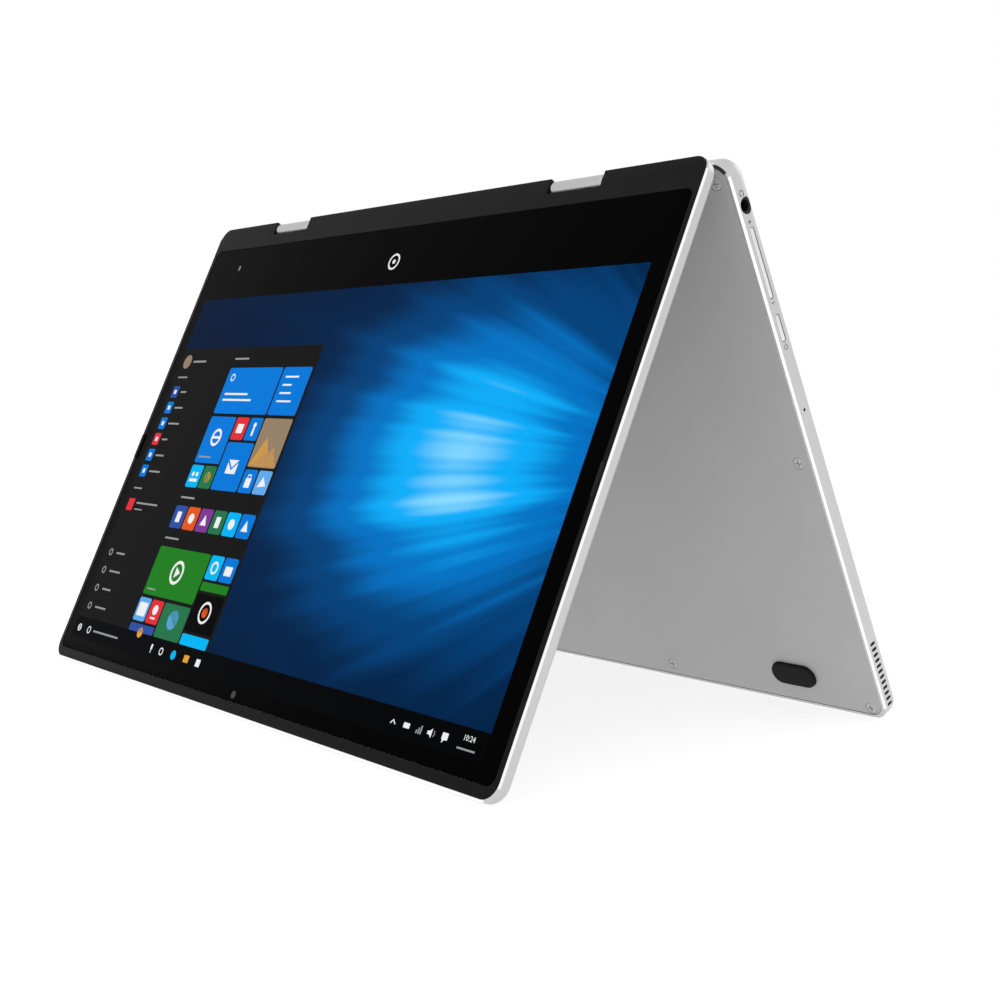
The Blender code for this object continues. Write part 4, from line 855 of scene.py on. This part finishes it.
def make_glass():
    """Cover glass, and the marks drawn on its face; the home mark and the light sensor are drawn glowing, which is
    painted light.
    """
    edge = ((0.85, -0.1), (0.75, 0.0), (0.4, 0.0), (0.25, -0.04), (0.17, -0.15), (GLASS_Z, -0.32))

    def sheet(bm):
        stack(bm, [(z, glass_rect(grow)) for z, grow in edge])
    piece("cover_glass", sheet, "lid", [GLASS], replaces=["display_glass"])

    # The home mark is a printed mark drawn glowing white: painted glow, not a lamp.
    def home(bm):
        band(bm, circle(SCREEN_SHIFT, HOME_Y, 2.75, 48), 0.75, GLASS_Z - 0.02, GLASS_Z + 0.1, closed=True)
        prism(bm, circle(SCREEN_SHIFT, HOME_Y, 0.85), GLASS_Z - 0.02, GLASS_Z + 0.1)
    piece("home_mark", home, "lid", [WHITE_GLOW])

    # The light sensor is drawn as a glowing grey patch: painted glow, not a lamp.
    def sensor(bm):
        sides = around(SENSOR_X, SENSOR_Y, SENSOR_HALF_X, SENSOR_HALF_Y)
        prism(bm, rounded_rect(*sides, SENSOR_HALF_X - 0.01, 6), GLASS_Z - 0.015, GLASS_Z + 0.1)
    piece("light_sensor", sensor, "lid", [lit("sensor_painted_glow", (0.22, 0.22, 0.23))])

    def lens(bm):
        turned(bm, 0.0, WEBCAM_Y, [(GLASS_Z + z, radius) for z, radius in (
            (0.1, 1.3), (-0.01, 1.3), (-0.02, 1.1), (-0.02, 0.9), (-0.005, 0.7))])
    piece("webcam_window", lens, "lid", [BLACK])


# ------------------------------ lit picture
LAYER = 0.02                # step between the layers of the picture
CLOCK_U, CLOCK_V = 248.5, 138.9


def on_screen(u, v):
    """Lid coordinates of a place on the picture, from its top left corner."""
    return u - SCREEN_X + SCREEN_SHIFT, SCREEN_TOP + v


class Sheet:
    """Flat shapes of one colour and layer, collected and then made into one piece."""

    def __init__(self, name, colour, layer):
        self.name, self.colour, self.layer = name, colour, layer
        self.outlines = []
        self.strokes = []

    def tile(self, u0, u1, v0, v1, radius=0.5):
        x0, y0 = on_screen(u0, v0)
        x1, y1 = on_screen(u1, v1)
        self.outlines.append(rounded_rect(x0, x1, y0, y1, radius, 4))

    def dot(self, u, v, radius):
        self.outlines.append(circle(*on_screen(u, v), radius, 20))

    def shape(self, *places):
        self.outlines.append([on_screen(u, v) for u, v in places])

    def ring(self, u, v, radius, width):
        self.strokes.append((circle(*on_screen(u, v), radius, 24), width, True))

    def line(self, width, *places):
        self.strokes.append(([on_screen(u, v) for u, v in places], width, False))

    def dash(self, width, u0, u1, v):
        self.line(width, (u0, v), (u1, v))

    def make(self):
        low = GLASS_Z - LAYER * self.layer
        high = GLASS_Z + 0.05

        def build(bm):
            for outline in self.outlines:
                prism(bm, outline, low, high)
            for points, width, closed in self.strokes:
                band(bm, points, width, low, high, closed=closed)
        finish = wallpaper() if self.colour is None else lit(self.name + "_light", self.colour)
        piece(self.name, build, "lid", [finish])


def make_picture():
    """Desktop picture: glow, launcher panel with plain tiles, and a task bar."""
    whole = Sheet("picture_wallpaper", None, 1)
    whole.tile(0.0, 2 * SCREEN_X, 0.0, SCREEN_HEIGHT, 0.2)
    panel = Sheet("picture_launcher", (0.0085, 0.0085, 0.0088), 2)
    panel.tile(0.0, 103.6, 21.8, 136.4, 0.6)
    bar = Sheet("picture_task_bar", (0.0012, 0.0014, 0.0022), 3)
    bar.tile(0.0, 2 * SCREEN_X, 136.0, SCREEN_HEIGHT, 0.2)
    colours = {
        "blue": (0.0, 0.19, 0.70), "sky": (0.12, 0.40, 0.82), "cyan": (0.0, 0.46, 0.92),
        "red": (0.76, 0.03, 0.045), "orange": (0.76, 0.10, 0.015), "purple": (0.22, 0.04, 0.30),
        "green": (0.015, 0.21, 0.015), "leaf": (0.02, 0.18, 0.07), "indigo": (0.03, 0.08, 0.36),
        "amber": (0.75, 0.36, 0.04), "sand": (0.30, 0.22, 0.14), "black": (0.0015, 0.0015, 0.0015),
    }
    tiles = {name: Sheet("picture_tiles_" + name, colour, 4) for name, colour in colours.items()}
    glyphs = Sheet("picture_glyphs", (0.86, 0.86, 0.86), 5)
    small = Sheet("picture_captions", (0.32, 0.32, 0.32), 5)

    # tile grid: large tiles of 18.8 mm, small ones of 8.9 mm, on a 9.9 mm pitch
    left, top, pitch, size = 43.6, 30.4, 9.9, 8.9

    def tile(colour, column, row_top, wide=1, high=1):
        """Draws a tile, and gives its middle."""
        u = left + column * pitch
        width, height = size + (wide - 1) * pitch, size + (high - 1) * pitch
        tiles[colour].tile(u, u + width, row_top, row_top + height, 0.9)
        return u + width / 2, row_top + height / 2

    def pair(colour, column, v0, v1, radius):
        """Draws a tile two columns wide."""
        u = left + column * pitch
        tiles[colour].tile(u, u + pitch + size, v0, v1, radius)

    u, v = tile("blue", 0, top, 4, 2)
    glyphs.ring(left + 4.5, top + 4.0, 1.3, 0.5)
    for i, length in enumerate((17.0, 21.0)):
        glyphs.dash(0.8, left + 3.0, left + 3.0 + length, v + 1.4 + 2.4 * i)
    u, v = tile("blue", 4, top, 2, 2)
    for i, length in enumerate((9.0, 6.0, 7.5, 9.5)):
        glyphs.dash(0.7, u - 6.5, u - 6.5 + length, v - 5.6 + 3.2 * i)
    second = top + 2 * pitch + 0.3
    u, v = tile("blue", 0, second, 2, 2)
    glyphs.ring(u, v - 1.0, 3.0, 1.1)
    glyphs.dash(1.0, u - 2.6, u + 2.6, v - 1.0)
    small.dash(0.6, u - 7.6, u + 1.5, v + 7.0)
    u, v = tile("red", 2, second)
    glyphs.tile(*around(u, v, 2.2, 1.8), 0.4)
    u, v = tile("blue", 3, second)
    glyphs.dot(u, v - 1.6, 1.0)
    glyphs.line(1.3, (u, v - 0.6), (u, v + 2.6))
    u, v = tile("sand", 4, second, 2, 2)
    tiles["amber"].shape((u - 9.0, v + 9.0), (u - 3.0, v - 2.0), (u + 1.5, v + 4.0), (u + 4.0, v + 1.0),
                         (u + 9.0, v + 9.0))
    u, v = tile("blue", 2, second + pitch, 2, 2)
    glyphs.shape((u - 3.6, v - 2.6), (u + 3.6, v - 2.6), (u, v + 0.4))
    glyphs.shape((u - 3.6, v - 1.6), (u, v + 1.5), (u + 3.6, v - 1.6), (u + 3.6, v + 2.8),
                 (u - 3.6, v + 2.8))
    third = second + 2 * pitch
    u, v = tile("cyan", 0, third)
    glyphs.dot(u - 1.5, v - 0.8, 0.9)
    glyphs.dot(u + 1.4, v - 0.8, 0.9)
    glyphs.dash(1.2, u - 2.8, u + 2.8, v + 1.6)
    u, v = tile("leaf", 1, third)
    tiles["amber"].dot(u, v, 2.2)
    u, v = tile("blue", 4, third)
    glyphs.tile(u - 1.9, u + 1.9, v - 1.2, v + 2.4, 0.3)
    glyphs.line(0.5, (u - 1.0, v - 1.2), (u - 1.0, v - 2.4), (u + 1.0, v - 2.4), (u + 1.0, v - 1.2))
    u, v = tile("sky", 5, third)
    glyphs.shape((u - 2.6, v + 1.8), (u - 0.4, v - 2.2), (u + 2.8, v + 1.2))
    row = 86.7
    for i, colour in enumerate(("indigo", "orange", "purple", "leaf", "cyan", "blue")):
        u, v = tile(colour, i, row)
        if i % 3 == 0:
            glyphs.tile(*around(u, v, 1.6, 2.1), 0.3)
        elif i % 3 == 1:
            glyphs.dot(u, v, 2.0)
        else:
            glyphs.shape((u - 2.2, v + 1.9), (u, v - 2.2), (u + 2.2, v + 1.9))
    low = 103.0
    u, v = tile("green", 0, low, 4, 2)
    glyphs.ring(u, v - 0.6, 4.0, 1.2)
    glyphs.shape((u - 1.3, v - 2.7), (u + 2.3, v - 0.6), (u - 1.3, v + 1.5))
    small.dash(0.6, left + 2.0, left + 8.5, v + 7.2)
    u, v = tile("cyan", 4, low)
    glyphs.ring(u, v, 2.0, 0.8)
    u, v = tile("blue", 5, low)
    glyphs.tile(u - 2.4, u + 2.4, v - 1.4, v + 2.0, 0.3)
    pair("green", 4, low + pitch, low + pitch + 3.2, 0.6)
    pair("black", 4, low + 14.2, low + 28.0, 0.9)
    u, v = left + 5 * pitch - 0.5, low + 20.5
    glyphs.ring(u, v, 3.6, 0.9)
    tiles["orange"].dot(u, v, 1.8)
    pair("cyan", 4, low + 29.0, 136.0, 0.6)
    fourth = low + 2 * pitch + 0.3
    u, v = tile("sky", 0, fourth)
    glyphs.tile(*around(u, v, 3.2, 2.6), 0.6)
    u, v = tile("red", 1, fourth)
    glyphs.dot(u, v - 0.8, 1.9)
    glyphs.dash(0.7, u - 1.8, u + 1.8, v + 2.3)
    pair("leaf", 2, fourth, 136.0, 0.9)
    tiles["sky"].dot(left + 3 * pitch - 0.5, fourth + 5.6, 3.6)
    pair("indigo", 0, fourth + pitch, 136.0, 0.6)
    tiles["amber"].dot(left + pitch - 0.5, fourth + pitch + 3.0, 1.9)
    for v in (26.6, 83.4, 99.6):
        small.dash(0.7, left + 0.6, left + 11.0, v)

    # list down the left of the panel
    tiles["sand"].dot(6.2, 27.4, 3.0)
    small.dash(0.8, 11.2, 21.5, 27.4)
    small.dash(0.6, 3.4, 11.0, 34.2)
    for i, colour in enumerate(("indigo", "blue", "blue", "red", "blue", "blue")):
        v = 40.6 + 6.8 * i
        tiles[colour].tile(3.4, 8.4, v - 2.5, v + 2.5, 0.5)
        glyphs.tile(5.0, 6.8, v - 0.9, v + 0.9, 0.3)
        small.dash(0.7, 10.6, 15.0 + 2.2 * (i % 3), v)
    small.dash(0.6, 3.4, 10.0, 82.0)
    tiles["red"].tile(3.4, 8.4, 86.4, 91.4, 0.5)
    small.dash(0.7, 10.6, 28.0, 88.0)
    small.dash(0.5, 10.6, 17.0, 90.6)
    for i in range(4):
        v = 109.0 + 7.4 * i
        small.ring(5.6, v, 1.2, 0.5)
        small.dash(0.7, 10.6, 17.5 + 2.0 * (i % 2), v)

    # task bar
    v = 140.3
    glyphs.ring(4.6, v, 1.2, 0.5)
    glyphs.dot(4.6, v, 0.5)
    glyphs.ring(13.0, v, 1.25, 0.4)
    small.dash(0.7, 17.0, 38.0, v)
    glyphs.tile(65.0, 66.2, v - 1.7, v + 0.4, 0.5)
    glyphs.line(0.35, (65.6, v + 0.4), (65.6, v + 1.6))
    glyphs.ring(73.2, v, 1.2, 0.45)
    tiles["cyan"].dot(82.4, v, 1.7)
    tiles["amber"].tile(90.1, 93.6, v - 1.3, v + 1.3, 0.3)
    glyphs.tile(99.0, 101.8, v - 1.1, v + 1.5, 0.3)
    glyphs.line(0.4, (213.6, v + 0.5), (214.7, v - 0.6), (215.8, v + 0.5))
    glyphs.tile(219.7, 222.5, v - 0.8, v + 0.7, 0.2)
    for i in range(3):
        small.line(0.55, (226.0 + 0.95 * i, v + 1.2), (226.0 + 0.95 * i, v + 0.2 - 0.7 * i))
    glyphs.shape((230.8, v - 0.5), (231.7, v - 0.5), (232.7, v - 1.3), (232.7, v + 1.3), (231.7, v + 0.5),
                 (230.8, v + 0.5))
    small.line(0.3, (233.6, v - 0.8), (234.0, v), (233.6, v + 0.8))
    glyphs.tile(237.3, 239.8, v - 1.2, v + 0.8, 0.25)
    glyphs.shape((237.7, v + 0.6), (238.8, v + 0.6), (237.7, v + 1.7))
    small.dash(0.5, 244.6, 252.2, v + 1.6)
    for sheet in [whole, panel, bar, *tiles.values(), glyphs, small]:
        sheet.make()
    make_clock()


def make_clock():
    """Digits of the time."""
    mesh = text_mesh("10:24", 2.3)
    mesh.name = "picture_clock"
    place = Vector((*on_screen(CLOCK_U, CLOCK_V), GLASS_Z - 5 * LAYER)) * MM
    mesh.transform(Matrix.Translation(place) @ Matrix.Rotation(math.pi, 4, "X"))
    lettering("picture_clock", mesh, "lid", WHITE_GLOW, "lid")


# ------------------------------ carried CAD pieces
def finish_cad():
    """Materials of the CAD nodes that show as they are."""
    by_slot = {"circuit_board": BOARD_GREEN, "black_plastic": BLACK, "copper": COPPER, "steel": STEEL,
               "gear_brass": BRASS}
    slots = {entry["node"]: entry["material_slot"] for entry in frame["record"]["subparts"]}
    for name, obj in frame["nodes"].items():
        finish = by_slot.get(slots[name])
        if finish is None:
            continue
        obj.data.materials.clear()
        obj.data.materials.append(finish)


# ------------------------------ stage, light, camera
def make_stage():
    floor_mesh = bpy.data.meshes.new("floor")
    reach = 12.0
    corners = [(-reach, -reach, 0), (reach, -reach, 0), (reach, reach, 0), (-reach, reach, 0)]
    floor_mesh.from_pydata(corners, [], [(0, 1, 2, 3)])
    material, _, shader = shader_material("floor", (0.36, 0.36, 0.36), 0.9, 0.0, 0.1)
    shader.inputs["Emission Color"].default_value = (1.0, 1.0, 1.0, 1.0)
    shader.inputs["Emission Strength"].default_value = 0.76
    floor_mesh.materials.append(material)
    add_object("floor", floor_mesh)

    world = bpy.data.worlds.new("studio")
    world.use_nodes = True
    world.node_tree.nodes["Background"].inputs["Color"].default_value = (1.0, 1.0, 1.0, 1.0)
    world.node_tree.nodes["Background"].inputs["Strength"].default_value = 1.0
    bpy.context.scene.world = world

    def area(name, place, target, size, power):
        data = bpy.data.lights.new(name, "AREA")
        data.size = size
        data.energy = power
        light = add_object(name, data)
        light.location = place
        light.rotation_euler = (Vector(target) - Vector(place)).to_track_quat("-Z", "Y").to_euler()

    area("key_light", (0.5, -0.9, 1.1), (0.0, 0.0, 0.08), 0.8, 1.2)
    area("back_light", (0.3, 1.2, 0.9), (0.0, 0.1, 0.08), 0.8, 1.5)
    bpy.context.scene.view_settings.view_transform = "Standard"


def make_camera():
    """Seen from the front right, a little above the middle of the tent."""
    place = Vector((0.42402, -0.31688, 0.10646))
    forward = Vector((-0.77228, 0.63074, -0.07589)).normalized()
    right = Vector((0.63240, 0.77463, 0.00262))
    right = (right - forward * right.dot(forward)).normalized()
    up = right.cross(forward)
    data = bpy.data.cameras.new("camera")
    data.sensor_width = 36.0
    data.lens = 54.01
    data.clip_start = 0.01
    camera = add_object("camera", data)
    turn = Matrix((right, up, -forward)).transposed()
    camera.matrix_world = Matrix.Translation(place) @ turn.to_4x4()
    bpy.context.scene.camera = camera


make_camera()
make_top_case()
make_rear_dark_strip()
make_bottom_cover()
make_feet()
make_screws()
make_keys()
make_touchpad()
make_side_controls()
make_housings()
make_back_cover()
make_bezel()
make_glass()
make_picture()
finish_cad()
make_stage()
